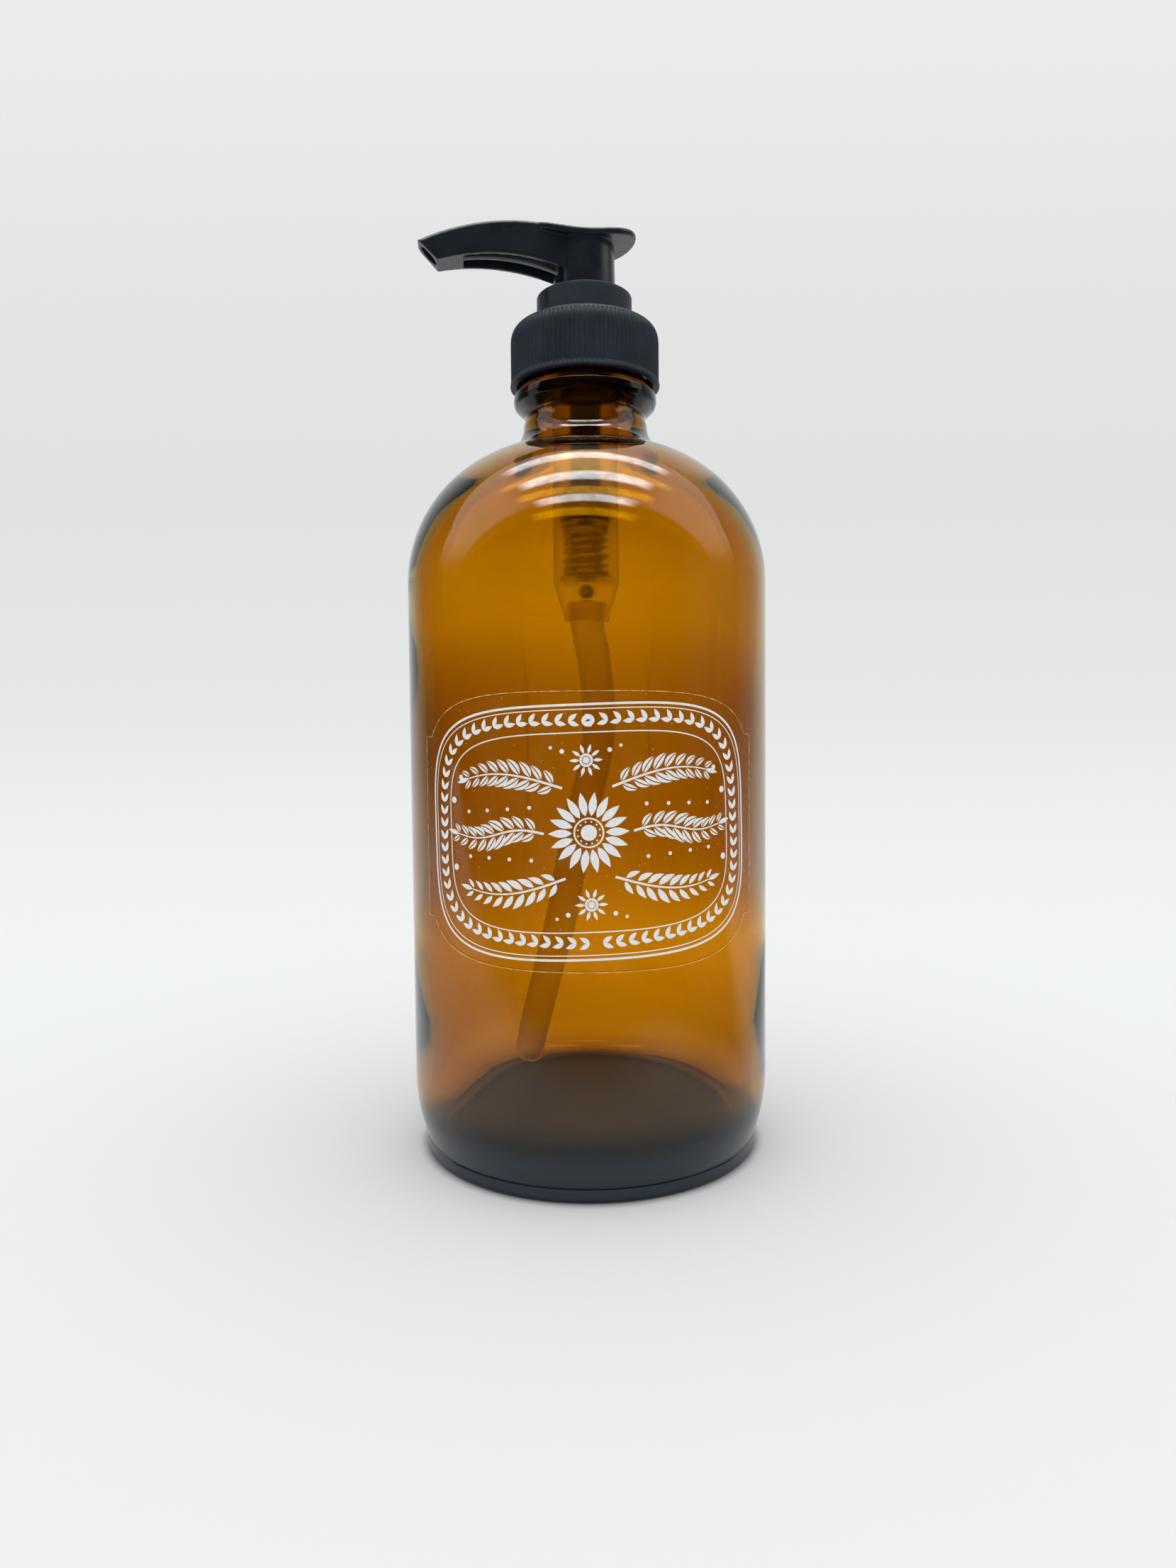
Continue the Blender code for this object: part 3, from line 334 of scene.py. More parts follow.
def amber_glass(n, look):
    """Clear shader with the amber in its volume; slow waves in the surface.

    The foot and the floor let hardly any light through: partly the thick glass, partly a painted shade
    for the shadow under the bottle, painted dark into them; the floor is also dull.
    """
    waves = n.total(n.noise(42.0, 1.0), n.product(n.noise(650.0, 3.0), 0.012))
    place = n.place()
    _, y, z = n.xyz(place)
    flat = n.add("VectorMath", {0: place, 1: (1.0, 1.0, 0.0)}, operation="MULTIPLY").outputs["Vector"]
    away = n.far(flat)
    middle = n.eased(away, 0.0315, 0.0290)
    floor = n.product(middle, n.eased(z, 0.0088, 0.0074))
    level = n.total(z, n.eased(y, -0.02, 0.02, 0.0, 0.0095))
    # painted shade: masks that darken the foot and floor glass and make it nearly opaque, for the shadow
    # under the bottle
    dark, shade_opacity = [n.highest(floor, n.product(n.without(middle), n.eased(level, clear, full)))
                   for clear, full in ((0.0155, 0.0100), (0.0105, 0.0065))]
    n.principled({"Base Color": n.mix(dark, rgba(look.glass_tint), rgba(look.painted_base_shade)),
                  "Roughness": n.product(floor, 0.3), "IOR": 1.51,
                  "Specular IOR Level": n.mapped(floor, 0.0, 1.0, 0.5, 0.05),
                  "Transmission Weight": n.without(n.product(shade_opacity, 0.97)),
                  "Normal": n.bump(waves, 0.06, 0.002)})
    absorb = n.add("VolumeAbsorption", {"Color": rgba(look.glass), "Density": look.glass_density})
    n.put(n.out.inputs["Volume"], absorb.outputs["Volume"])


def black_plastic(n, look, lift=1.0, dull=0.22, shine=0.5):
    """Black with fine moulded grain, slight flow marks and rubbed patches."""
    patches = n.noise(160.0, 4.0)
    grain = n.total(n.product(n.noise(5200.0), 0.35), n.noise(420.0))
    n.principled({"Base Color": n.shades(patches, look.black, lift, 1.4 * lift, 0.35),
                  "Roughness": n.mapped(patches, 0.3, 0.7, dull, dull + 0.12), "IOR": 1.49,
                  "Specular IOR Level": shine, "Normal": n.bump(grain, 0.35, 0.00005)})


def milky_plastic(n, look, through):
    """Natural polypropylene with cloudy patches."""
    n.principled({"Base Color": n.shades(n.noise(190.0, 3.0), look.natural, 1.0, 1.12), "Roughness": 0.5,
                  "IOR": 1.12, "Transmission Weight": through,
                  "Normal": n.bump(n.noise(900.0), 0.2, 0.0001)})


def smoky_plastic(n, look):
    """Moulded rod: black where it leaves the pump, brown and see-through further down."""
    lower = n.eased(n.xyz(n.place())["Z"], 0.142, 0.132)
    cloud = n.mapped(n.noise(300.0, 3.0), 0.3, 0.7, 0.9, 1.1)
    n.principled({"Base Color": n.mix(n.product(lower, cloud), rgba(look.black), rgba(look.smoky)),
                  "Roughness": 0.4, "IOR": 1.2, "Transmission Weight": n.product(lower, 0.95),
                  "Normal": n.bump(n.noise(900.0), 0.15, 0.0001)})


def soft_plastic(n, look):
    """Slightly cloudy, with a fine grain."""
    n.principled({"Base Color": n.shades(n.noise(500.0), look.foam, 1.0, 0.93), "Roughness": 0.5,
                  "Normal": n.bump(n.noise(2500.0), 0.2, 0.0001)})


def gasket_foam(n, look):
    """Foam with small round pores, painted darker in their pits as a painted shade."""
    pores = n.cells(3000.0)
    # painted shade: the pits of the pores are darker
    n.principled({"Base Color": n.shades(pores, look.foam, 0.9, 1.0, 0.0, 0.8), "Roughness": 0.85,
                  "Normal": n.bump(pores, 0.4, 0.0001)})


def drawn_steel(n, look):
    """Fine marks from drawing and rolling."""
    marks = n.noise(3000.0, 3.0)
    n.principled({"Base Color": n.shades(marks, look.steel, 1.0, 0.8), "Metallic": 0.3,
                  "Roughness": n.mapped(marks, 0.3, 0.7, 0.3, 0.42),
                  "Normal": n.bump(marks, 0.15, 0.00005)})


def clear_film(n, _):
    """Almost invisible film with faint haze and tiny specks of dust under it."""
    specks = n.mapped(n.cells(620.0), 0.05, 0.085, 0.5, 0.0)
    haze = n.mapped(n.noise(150.0, 5.0, 0.7), 0.5, 0.85, 0.0, 0.03)
    n.principled({"Base Color": (0.60, 0.42, 0.16, 1), "Roughness": 0.5, "Alpha": n.total(specks, haze)})


def film_line(n, _, tone, most):
    """Broken line of painted light along the film's cut edge."""
    broken = n.mapped(n.noise(900.0, 4.0, 0.7), 0.38, 0.62, 0.15, most)
    n.principled({"Base Color": rgba(tone), "Roughness": 0.3, "Alpha": broken})


def white_ink(n, look):
    """Screen-printed white, slightly uneven."""
    tone = n.shades(n.noise(1500.0, 3.0, 0.6), look.print_white, 1.0, 0.86, 0.3, 0.75)
    n.principled({"Base Color": tone, "Roughness": 0.45, "Normal": n.bump(n.noise(4000.0), 0.1, 0.00003)})


def sweep_paper(n, _):
    """Pale matt paper: the floor takes shadows; the upright part glows with a painted gradient of light.

    Shiny surfaces see the backdrop fade out at both sides and the floor in front darker; the paper
    under the bottle is painted dark, a painted shadow of the bottle.
    """
    stage = bpy.context.scene.pump_stage
    place = n.place()
    x, y, z = n.xyz(place)
    rays = n.add("LightPath").outputs
    glossy, passed = rays["Is Glossy Ray"], rays["Is Transmission Ray"]
    front = n.product(glossy, n.without(passed), n.eased(y, -0.072, -0.150, 0.0, 0.96))
    right = n.product(n.eased(x, 0.06, 0.13, 0.0, 0.93), n.eased(y, 0.03, -0.01, 0.5, 1.0))
    sides = n.product(glossy, n.highest(right, n.eased(x, -0.08, -0.16, 0.0, 0.4)))
    # painted shadow: darkens the paper's colour under the bottle
    under = n.eased(n.far(place), stage.spot, stage.spot + 0.0038, 0.10, 1.0)
    lit = n.product(under, n.without(front), n.without(sides))
    paper = n.principled({"Base Color": n.mix(lit, (0, 0, 0, 1), rgba(stage.sweep)), "Roughness": 0.9,
                          "Specular IOR Level": 0.0})
    # painted light: the backdrop glows with this gradient by height, in place of light falling on it
    grey = n.ramp(n.mapped(z, 0.0, 1.5), [(at, (tone * 0.97, tone, tone * 0.99)) for at, tone in (
        (0.0, 0.90), (0.03, 0.86), (0.07, 0.807), (0.18, 0.765), (0.29, 0.788), (0.42, 0.845),
        (1.0, 0.90))])
    mirrored = n.ramp(n.mapped(x, -2.5, 2.5), [(0.5 + at / 5, tone) for at, tone in (
        (-1.7, 0.03), (-0.9, 0.15), (-0.66, 0.45), (-0.49, 0.75), (-0.3, 1.0), (0.35, 1.0), (0.49, 0.88),
        (0.6, 0.76), (0.72, 0.58), (0.92, 0.42), (1.41, 0.30), (2.24, 0.12))])
    fade = n.product(n.without(n.product(glossy, n.without(mirrored))),
                     n.without(n.product(passed, n.eased(x, 0.4, 1.4, 0.0, 0.8))))
    glow = n.add("Emission", {"Color": grey, "Strength": fade})
    seen = n.highest(rays["Is Camera Ray"], glossy, passed)
    n.either(n.product(seen, n.eased(y, 0.08, 0.28)), paper, glow)


MATERIALS = {
    "bottle glass": (amber_glass, {}),
    "satin black plastic": (black_plastic, {}),
    "matt black plastic": (black_plastic, {"lift": 2.1, "dull": 0.42, "shine": 0.25}),
    "milky plastic": (milky_plastic, {"through": 0.88}),
    "thin milky plastic": (milky_plastic, {"through": 0.96}),
    "smoky plastic": (smoky_plastic, {}),
    "soft plastic": (soft_plastic, {}),
    "foam": (gasket_foam, {}),
    "drawn steel": (drawn_steel, {}),
    "clear film": (clear_film, {}),
    # painted highlight and painted shade along the film's cut edge
    "film edge highlight": (film_line, {"tone": (0.85, 0.55, 0.20), "most": 0.85}),
    "film shade": (film_line, {"tone": (0.10, 0.035, 0.0), "most": 0.7}),
    "white ink": (white_ink, {}),
    "sweep paper": (sweep_paper, {}),
}


def made(name):
    """The material of that name, made once, by a function of its nodes and of the user's colours."""
    if name not in bpy.data.materials:
        build, settings = MATERIALS[name]
        build(Nodes(bpy.data.materials.new(name)), bpy.context.scene.pump_finishes, **settings)
    return bpy.data.materials[name]


# ---------------------------------------------------------------- surfaces
def put_mesh(name, points, quads, triangles=()):
    """Points and faces, which are arrays of any shape, into a new mesh, shaded smooth."""
    faces = np.reshape(quads, (-1, 4)).tolist() + np.reshape(triangles, (-1, 3)).tolist()
    mesh = bpy.data.meshes.new(name)
    mesh.from_pydata(np.reshape(points, (-1, 3)), [], faces, shade_flat=False)
    mesh.validate()
    return mesh


def grid_quads(rows, columns, wrap_rows=False, wrap_columns=False):
    """Corner numbers of the quads of a rows x columns grid, with optional closing."""
    r = np.arange(rows if wrap_rows else rows - 1)
    c = np.arange(columns if wrap_columns else columns - 1)
    r, c = [a.ravel() for a in np.meshgrid(r, c, indexing="ij")]
    r1, c1 = (r + 1) % rows, (c + 1) % columns
    return np.stack([r * columns + c, r * columns + c1, r1 * columns + c1, r1 * columns + c], 1)


def outward(mesh):
    """Turns all faces over if the closed mesh encloses a negative volume."""
    form = bmesh.new()
    form.from_mesh(mesh)
    if form.calc_volume(signed=True) < 0:
        bmesh.ops.reverse_faces(form, faces=form.faces)
        form.to_mesh(mesh)
    form.free()
    return mesh


def lofted(name, rings, poles=None):
    """Closed skin over rings (rows, columns, 3).

    The last ring joins the first if poles is empty; otherwise a fan closes each end, to its pole
    or to the middle of its ring.
    """
    rings = np.asarray(rings, float)
    rows, columns = rings.shape[:2]
    poles = rings[[0, -1]].mean(1) if poles is None else np.reshape(poles, (-1, 3))
    near = np.arange(columns)
    far = near + (rows - 1) * columns
    fans = [np.stack([np.full(columns, rows * columns), np.roll(near, -1), near], 1),
            np.stack([np.full(columns, rows * columns + 1), far, np.roll(far, -1)], 1)]
    return outward(put_mesh(name, np.concatenate([rings.reshape(-1, 3), poles]),
                            grid_quads(rows, columns, not len(poles), True), fans if len(poles) else ()))


def placed(mesh):
    """A new object in the scene that shows the mesh."""
    item = bpy.data.objects.new(mesh.name, mesh)
    bpy.context.scene.collection.objects.link(item)
    return item


def show(mesh, body, slot, material, node=None, sharp=None):
    """Links the mesh as a piece that rides on a body and stands for its CAD node."""
    if sharp:
        mesh.set_sharp_from_angle(angle=radians(sharp))
    piece = placed(mesh)
    mesh.materials.append(made(material))
    if body:
        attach(piece, body)
    if node:
        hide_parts(node)
    return piece


def smooth_step(x):
    """3 x^2 - 2 x^3 between 0 and 1, level outside."""
    x = np.clip(x, 0, 1)
    return x * x * (3 - 2 * x)


def apart(a, b):
    """Angle between two directions, from 0 to pi."""
    return np.abs((a - b + pi) % (2 * pi) - pi)


def circle(count, radius=1.0, closing=False):
    """Points radius * (cos a, sin a); closing repeats the first one at the end."""
    angle = np.linspace(0, 2 * pi, count, endpoint=closing)
    return radius * np.stack([np.cos(angle), np.sin(angle)], 1)


def arc(centre_r, centre_z, radius, start, end, count):
    """Points on an arc from the angle start to end, in degrees."""
    angle = np.radians(np.linspace(start, end, count))
    return np.stack([centre_r + radius * np.cos(angle), centre_z + radius * np.sin(angle)], 1)


def upright(r, start, end, count):
    """Points on an upright line."""
    return np.stack([np.full(count, r), np.linspace(start, end, count)], 1)


def rounded(points, radii, count=5):
    """Polyline with its corners replaced by arcs; a radius of 0 keeps a corner sharp."""
    points = np.array(points, float)
    radii = np.broadcast_to(radii, len(points))
    out = [points[0]]
    for before, corner, after, radius in zip(points, points[1:], points[2:], radii[1:]):
        a, b = before - corner, after - corner
        la, lb = np.linalg.norm(a), np.linalg.norm(b)
        a, b = a / la, b / lb
        half = acos(max(-1.0, min(1.0, float(a @ b)))) / 2
        if radius <= 0 or half > 1.5 or half < 0.05:
            out.append(corner)
            continue
        reach = min(radius / np.tan(half), 0.48 * la, 0.48 * lb)
        radius = reach * np.tan(half)
        centre = corner + (a + b) / np.linalg.norm(a + b) * radius / sin(half)
        start, end = corner + a * reach - centre, corner + b * reach - centre
        sweep = acos(max(-1.0, min(1.0, float(start @ end) / radius ** 2)))
        for t in np.linspace(0, 1, count):
            w0, w1 = sin((1 - t) * sweep) / sin(sweep), sin(t * sweep) / sin(sweep)
            out.append(centre + w0 * start + w1 * end)
    out.append(points[-1])
    return np.array(out)


def closed_round(points, radius, count=4):
    """The same for a closed outline: starts in the middle of its first edge."""
    points = np.array(points, float)
    middle = points[:2].mean(0)
    return rounded([middle, *points[1:], points[0], middle], radius, count)[:-1]


def revolved(name, profile, columns=96, closed=True, shape=None):
    """Surface of revolution about Z: (r, z) rows turned to (r cos a, r sin a, z).

    An open profile starts and ends on the axis.  shape, if given, takes arrays (r, z, a) and
    returns new (r, z), which is how ribs, threads and notches are cut.  columns is their number,
    or their angles.
    """
    rows = np.asarray(profile, float)
    poles = () if closed else [(0, 0, rows[end, 1]) for end in (0, -1)]
    rows = rows if closed else rows[1:-1]
    angle = np.linspace(0, 2 * pi, columns, endpoint=False) if isinstance(columns, int) else columns
    r, z, a = np.broadcast_arrays(rows[:, 0:1], rows[:, 1:2], angle[None])
    if shape:
        r, z = shape(r, z, a)
    return lofted(name, np.stack([r * np.cos(a), r * np.sin(a), z], 2), poles)


def carried(path, outline):
    """Rings of an outline of (a, b) offsets along a path: path + a side + b up.

    side is carried along without twist: at each point, the last one less its part along the path.
    """
    tangent = np.gradient(path, axis=0)
    tangent /= np.linalg.norm(tangent, axis=1)[:, None]
    side = np.zeros_like(path)
    last = np.cross(tangent[0], [0.3, 1.0, 0.1])
    for i in range(len(path)):
        last = last - tangent[i] * (last @ tangent[i])
        last = side[i] = last / np.linalg.norm(last)
    up = np.cross(tangent, side)
    return path[:, None] + outline[:, 0:1] * side[:, None] + outline[:, 1:2] * up[:, None]


def spline(points, count):
    """Catmull-Rom curve through the points as one array of count samples."""
    p = np.asarray(points, float)
    p = np.concatenate([[2 * p[0] - p[1]], p, [2 * p[-1] - p[-2]]])
    t = np.linspace(0, len(p) - 3, count)
    i = np.minimum(t.astype(int), len(p) - 4)
    u = (t - i)[:, None]
    a, b, c, d = p[i], p[i + 1], p[i + 2], p[i + 3]
    return 0.5 * (2 * b + (c - a) * u + (2 * a - 5 * b + 4 * c - d) * u ** 2
                  + (3 * b - a - 3 * c + d) * u ** 3)


# ---------------------------------------------------------------- bottle
def shoulder_line(size, offset, neck_radius, count):
    """Neck fillet and shoulder arc from the neck down to the wall, offset inwards.

    The arc's centre lies shoulder_radius inside the wall; the fillet touches it and the neck.
    """
    radius = size.shoulder_radius - offset
    fillet = size.neck_fillet + offset
    centre_r = size.body_radius - size.shoulder_radius
    fillet_r = neck_radius + fillet
    fillet_z = size.shoulder_start + sqrt((radius + fillet) ** 2 - (fillet_r - centre_r) ** 2)
    meet = np.degrees(atan2(fillet_z - size.shoulder_start, fillet_r - centre_r))
    return np.concatenate([arc(fillet_r, fillet_z, fillet, 180, 180 + meet, count // 2)[:-1],
                           arc(centre_r, size.shoulder_start, radius, meet, 0, count)])


def bottle_inside(s):
    """Inner floor, heel, wall and shoulder, up to the bore."""
    floor_mid = s.push_up + s.base_wall
    inner = s.body_radius - s.side_wall
    heel = arc(inner - s.inner_heel, floor_mid - s.floor_slope + s.inner_heel, s.inner_heel, -90, 0, 16)
    t = np.linspace(0, 1, 14)
    floor = np.stack([heel[0, 0] * t, floor_mid - s.floor_slope * t ** 2], 1)
    wall = upright(inner, heel[-1, 1], s.shoulder_start - 2 * s.side_wall, 24)
    shoulder = shoulder_line(s, s.shoulder_wall, s.bore_radius, 26)[-2::-1]
    return np.concatenate([floor, heel[1:], wall[1:], shoulder])


def bottle_neck(s):
    """Lip, thread ground and transfer bead, down to the neck."""
    lip = rounded([(s.bore_radius, s.finish_top - 0.006), (s.bore_radius, s.finish_top),
                   (s.finish_radius, s.finish_top), (s.finish_radius, s.finish_top - 0.0006)],
                  [0, 0.0006, 0.0006, 0], 6)[1:]
    root = s.bead_height + 0.0016
    ground = upright(s.finish_radius, s.finish_top - 0.0007, root + 0.0003, 46)
    wide, middle = s.bead_radius, s.bead_height
    bead = rounded([ground[-1], (s.finish_radius, root), (wide - 0.00065, root), (wide, middle + 0.0006),
                    (wide, middle - 0.0007), (wide - 0.0003, middle - 0.0015),
                    (s.neck_radius - s.neck_taper, middle - 0.0034),
                    (s.neck_radius - 0.8 * s.neck_taper, middle - 0.0046)],
                   [0, 0.0003, 0.0003, 0.0006, 0.0006, 0.0006, 0.0010, 0], 6)[1:]
    return np.concatenate([lip, ground[1:], bead])


def bottle_outside(s):
    """Shoulder, wall, heel drawn in by the square of the way down, foot band and hollow base."""
    wall = upright(s.body_radius, s.shoulder_start, s.heel_height, 24)[1:]
    t = np.linspace(0, 1, 14)[1:]
    drawn = np.stack([s.body_radius - s.heel_draw * t ** 2,
                      s.heel_height + (s.foot_band - s.heel_height) * t], 1)
    foot, line = s.body_radius - s.heel_draw, s.foot_band - 0.0002
    band = rounded([drawn[-1], (foot - 0.00012, line), (foot, line - 0.0003), (foot, s.foot_round)],
                   [0, 0.0001, 0.0001, 0], 4)[1:-1]
    ring = foot - s.foot_round - s.foot_ring
    base = rounded([(foot - s.foot_round, 0), (ring, 0), (ring - s.push_up, 0.5 * s.push_up),
                    (0.6 * ring, 0.9 * s.push_up), (0, s.push_up)], [0, 0.0004, 0.002, 0.01, 0], 6)[1:]
    return np.concatenate([shoulder_line(s, 0.0, s.neck_radius, 44), wall, drawn, band,
                           arc(foot - s.foot_round, s.foot_round, s.foot_round, 0, -90, 9), base])


def wall_change(z, a):
    """How much thicker than the plain wall the blown glass is at a height and an angle.

    A spline over the height, a lean to one side, a thinner strip in front between two wobbly
    ridges, and slow sine waves.
    """
    heights, change = spline([(0.0, 0.3), (0.022, 0.1), (0.031, -0.5), (0.040, -0.85), (0.048, -0.75),
                              (0.057, 0.3), (0.066, 0.85), (0.090, 0.8), (0.100, 0.0), (0.108, -0.9),
                              (0.116, -0.8), (0.125, -0.4), (0.131, 0.0), (0.137, 0.9), (0.143, 1.2),
                              (0.15, 0.6)], 120).T
    lean = np.interp(z, [0.02, 0.05, 0.07, 0.09, 0.11], [0.6, 0.6, 0.2, 0.15, -0.1])
    wobble = 0.010 * np.sin(130 * z) + 0.004 * np.sin(310 * z + 1)
    away = apart(a, -pi / 2) - SEAM - wobble
    fade = smooth_step((z - 0.045) / 0.03) * (1 - smooth_step((z - 0.100) / 0.010))
    strip = 0.25 * (1 - smooth_step(away / 0.03 + 0.5)) * fade
    ridge = 0.10 * np.exp(-(away / 0.014) ** 2) * fade
    waves = np.sin(3 * a + 40 * z) + np.sin(5 * a - 1.3 - 65 * z) + np.sin(2 * a + 95 * z)
    return MM * (np.interp(z, heights, change) - lean * np.cos(a) - strip + ridge + 0.05 * waves)


def with_thread(s, r, z, a):
    """Radius + thread height * bump(distance of z from the helix), faded at both ends."""
    bump = np.zeros(r.shape)
    for lap in range(3):
        travelled = a / (2 * pi) + lap
        fade = smooth_step(travelled / 0.06) * smooth_step((1.6 - travelled) / 0.08)
        away = np.abs(z - (s.finish_top - 0.0019 - s.thread_pitch * travelled)) / 0.00095
        bump = np.maximum(bump, fade * (1 - smooth_step(away)))
    on_finish = (z > s.bead_height + 0.0019) & (z < s.finish_top - 0.0004) & (r > s.bore_radius + 0.001)
    return np.where(on_finish, r + s.thread_height * bump, r)


def with_uneven_wall(s, r, z, a):
    """Inner radius - wall_change, eased in from the floor and from the neck."""
    above = np.maximum(z - s.shoulder_start, 0)
    outer = s.body_radius - s.shoulder_radius + np.sqrt(np.maximum(s.shoulder_radius ** 2 - above ** 2, 0))
    inside = (r < outer - 0.5 * s.side_wall) & (r > 0.02) & (z > 0.0125)
    near = smooth_step((z - 0.0125) / 0.006) * smooth_step((r - 0.021) / 0.012)
    return np.where(inside, r - near * wall_change(z, a), r)


class PUMP_OT_bottle(bpy.types.Operator):
    """Amber glass bottle with its thread, transfer bead and hollow base"""
    bl_idname = "pump.bottle"
    bl_label = "Bottle"

    def execute(self, context):
        s = context.scene.pump_bottle
        profile = np.concatenate([bottle_inside(s), bottle_neck(s), bottle_outside(s)])
        close = np.linspace(-0.045, 0.045, 19)
        angle = np.unique(np.round(np.concatenate([np.linspace(0, 2 * pi, 216, endpoint=False),
                                                   1.5 * pi - SEAM + close, 1.5 * pi + SEAM + close]), 5))
        mesh = revolved("bottle_glass", profile, angle, closed=False,
                        shape=lambda r, z, a: (with_uneven_wall(s, with_thread(s, r, z, a), z, a), z))
        show(mesh, "bottle", "amber_glass", "bottle glass", "bottle")
        return {"FINISHED"}


# ---------------------------------------------------------------- label
def film_half_height(size, across):
    """Superellipse: half height at a distance from the middle, cut square near both sides."""
    part = np.minimum(np.abs(across) / (size.width / 2), 0.94)
    return size.height / 2 * (1 - part ** size.roundness) ** (1 / size.roundness)


def wrapped(across, up, lift):
    """A flat point (across, up) laid on the body: (R sin(u/R0), -R cos(u/R0), v), R = R0 + lift."""
    body = bpy.context.scene.pump_bottle.body_radius
    angle = across / body
    return np.stack([(body + lift) * np.sin(angle), -(body + lift) * np.cos(angle), up], -1)


def strip(path, widths):
    """A ribbon in the flat: both edges of a path, offset by half a width each way."""
    d = np.gradient(path, axis=0)
    d /= np.maximum(np.linalg.norm(d, axis=1), 1e-9)[:, None]
    normal = np.stack([-d[:, 1], d[:, 0]], 1)
    half = np.broadcast_to(np.asarray(widths, float) / 2, (len(path),))[:, None]
    return np.stack([path - normal * half, path + normal * half], 1)


def toward(angle, distance=1.0):
    """Step of that length in that direction."""
    return distance * np.array([cos(angle), sin(angle)])


def swell(count):
    """sin(pi t^0.85): a leaf's width from its foot to its tip, widest before the middle."""
    return np.sin(pi * np.linspace(0, 1, count) ** 0.85)


def leaf(base, angle, size, fullness=0.34, bend=0.0, count=9):
    """Lens-shaped leaf: its width is fullness * size * swell, along a bent midrib."""
    turn = angle + bend * (np.linspace(0, 1, count) - 0.3)
    step = np.stack([np.cos(turn), np.sin(turn)], 1) * size / (count - 1)
    path = np.asarray(base, float) + np.concatenate([[[0, 0]], np.cumsum(step[:-1], axis=0)])
    return strip(path, fullness * size * swell(count) + 1e-6)


def leafy_branch(path, leaf_size, pairs, veins=True):
    """A stem with leaves set in pairs along it; a veined leaf is two halves beside a bare midrib."""
    shapes = [strip(path, np.linspace(0.00045, 0.0002, len(path)))]
    d = np.gradient(path, axis=0)
    heading = np.arctan2(d[:, 1], d[:, 0])
    halves, full = (BOTH, 0.17) if veins else ((0,), 0.34)
    for k, i in enumerate((np.linspace(0.08, 0.97, pairs) * (len(path) - 1)).astype(int)):
        size = leaf_size * (1.0 - 0.35 * abs(2 * k / (pairs - 1) - 0.7))
        for side in BOTH:
            angle = heading[i] + side * 0.75
            blade = leaf(path[i] + toward(angle, 0.0005), angle, size, full, bend=-0.5 * side)
            shift = (full * size * swell(9) / 2 + 0.00011)[:, None, None] * toward(angle + pi / 2)
            shapes += [blade + half * shift for half in halves]
    return shapes + [leaf(path[-1], heading[-1], leaf_size * 0.8, 0.3)]


def disc(centre, radius, count=14):
    """Filled dot as a ribbon across it: chords from side to side."""
    a = np.linspace(0.02, pi - 0.02, count)
    x, y = radius * np.cos(a), radius * np.sin(a)
    return np.asarray(centre) + np.stack([np.stack([x, -y], 1), np.stack([x, y], 1)], 1)


def flower(centre, radius, petals):
    """Daisy: lens petals round a ring and a dotted middle."""
    centre = np.asarray(centre)
    shapes = [strip(centre + circle(48, radius * 0.36, closing=True), 0.0003), disc(centre, radius * 0.2)]
    for angle in 2 * pi * np.arange(petals) / petals:
        shapes.append(leaf(centre + toward(angle, radius * 0.42), angle, radius * 0.6))
    for angle in 2 * pi * (np.arange(12) + 0.5) / 12:
        shapes.append(disc(centre + toward(angle, radius * 0.28), 0.00016, 8))
    return shapes


def even(path, count):
    """The same path as count points at equal distances."""
    gone = np.concatenate([[0], np.cumsum(np.linalg.norm(np.diff(path, axis=0), axis=1))])
    at = np.linspace(0, gone[-1], count)
    return np.stack([np.interp(at, gone, path[:, 0]), np.interp(at, gone, path[:, 1])], 1)


def border(size, inset, count=260):
    """The film's outline drawn in by a distance: a superellipse, once round."""
    unit = circle(1441, closing=True)
    reach = np.array([0.975 * size.width / 2 - inset, size.height / 2 - inset])
    return even(reach * np.abs(unit) ** (2 / size.roundness) * np.sign(unit), count)


def garland(path, leaf_size, count):
    """Small leaves on both sides of a closed path, pointing along it from the bottom to the top."""
    shapes = []
    for u, v in even(path, count)[:-1]:
        up = atan2(v, u) + (pi / 2 if u > 0 else -pi / 2)
        shapes += [leaf((u, v), up + 0.55 * side, leaf_size, 0.42, -0.3 * side, 7) for side in BOTH]
    return shapes


def print_shapes(size):
    """The ornament in the flat: a ruled border with a garland, flowers, dots and three sprays a side."""
    shapes = [strip(border(size, inset), width) for inset, width in
              ((0.0024, 0.00042), (0.0032, 0.00018), (0.0073, 0.00022))]
    shapes += garland(border(size, 0.0053), 0.0021, 76) + flower((0, 0), 0.0071, 18)
    t = np.linspace(0, 1, 90)
    # across, up and radius
    dots = [(0.0105 + 0.0042 * k, 0.0047 - 0.0002 * k, 0.00035) for k in range(4)]
    dots += [(0.0268, 0.0062, 0.0006), (0.0042, 0.0145, 0.00042), (0.0062, 0.0152, 0.0003)]
    for side in BOTH:
        main = np.stack([side * (0.0080 + 0.0178 * t), 0.0007 * np.sin(2 * pi * t)], 1)
        shapes += leafy_branch(main, 0.0037, 9)
        shapes.append(disc((side * 0.0248, 0.0104), 0.00048))
        for turn in BOTH:
            spray = np.stack([side * (0.0044 + 0.0185 * t),
                              turn * (0.0080 + 0.0042 * np.sin(pi * t * 0.62) - 0.0018 * t)], 1)
            shapes += leafy_branch(spray, 0.0037, 9, veins=turn > 0)
            shapes += [disc((side * u, turn * v), radius) for u, v, radius in dots]
    return shapes + flower((0, 0.0128), 0.0029, 10) + flower((0, -0.0128), 0.0029, 10)


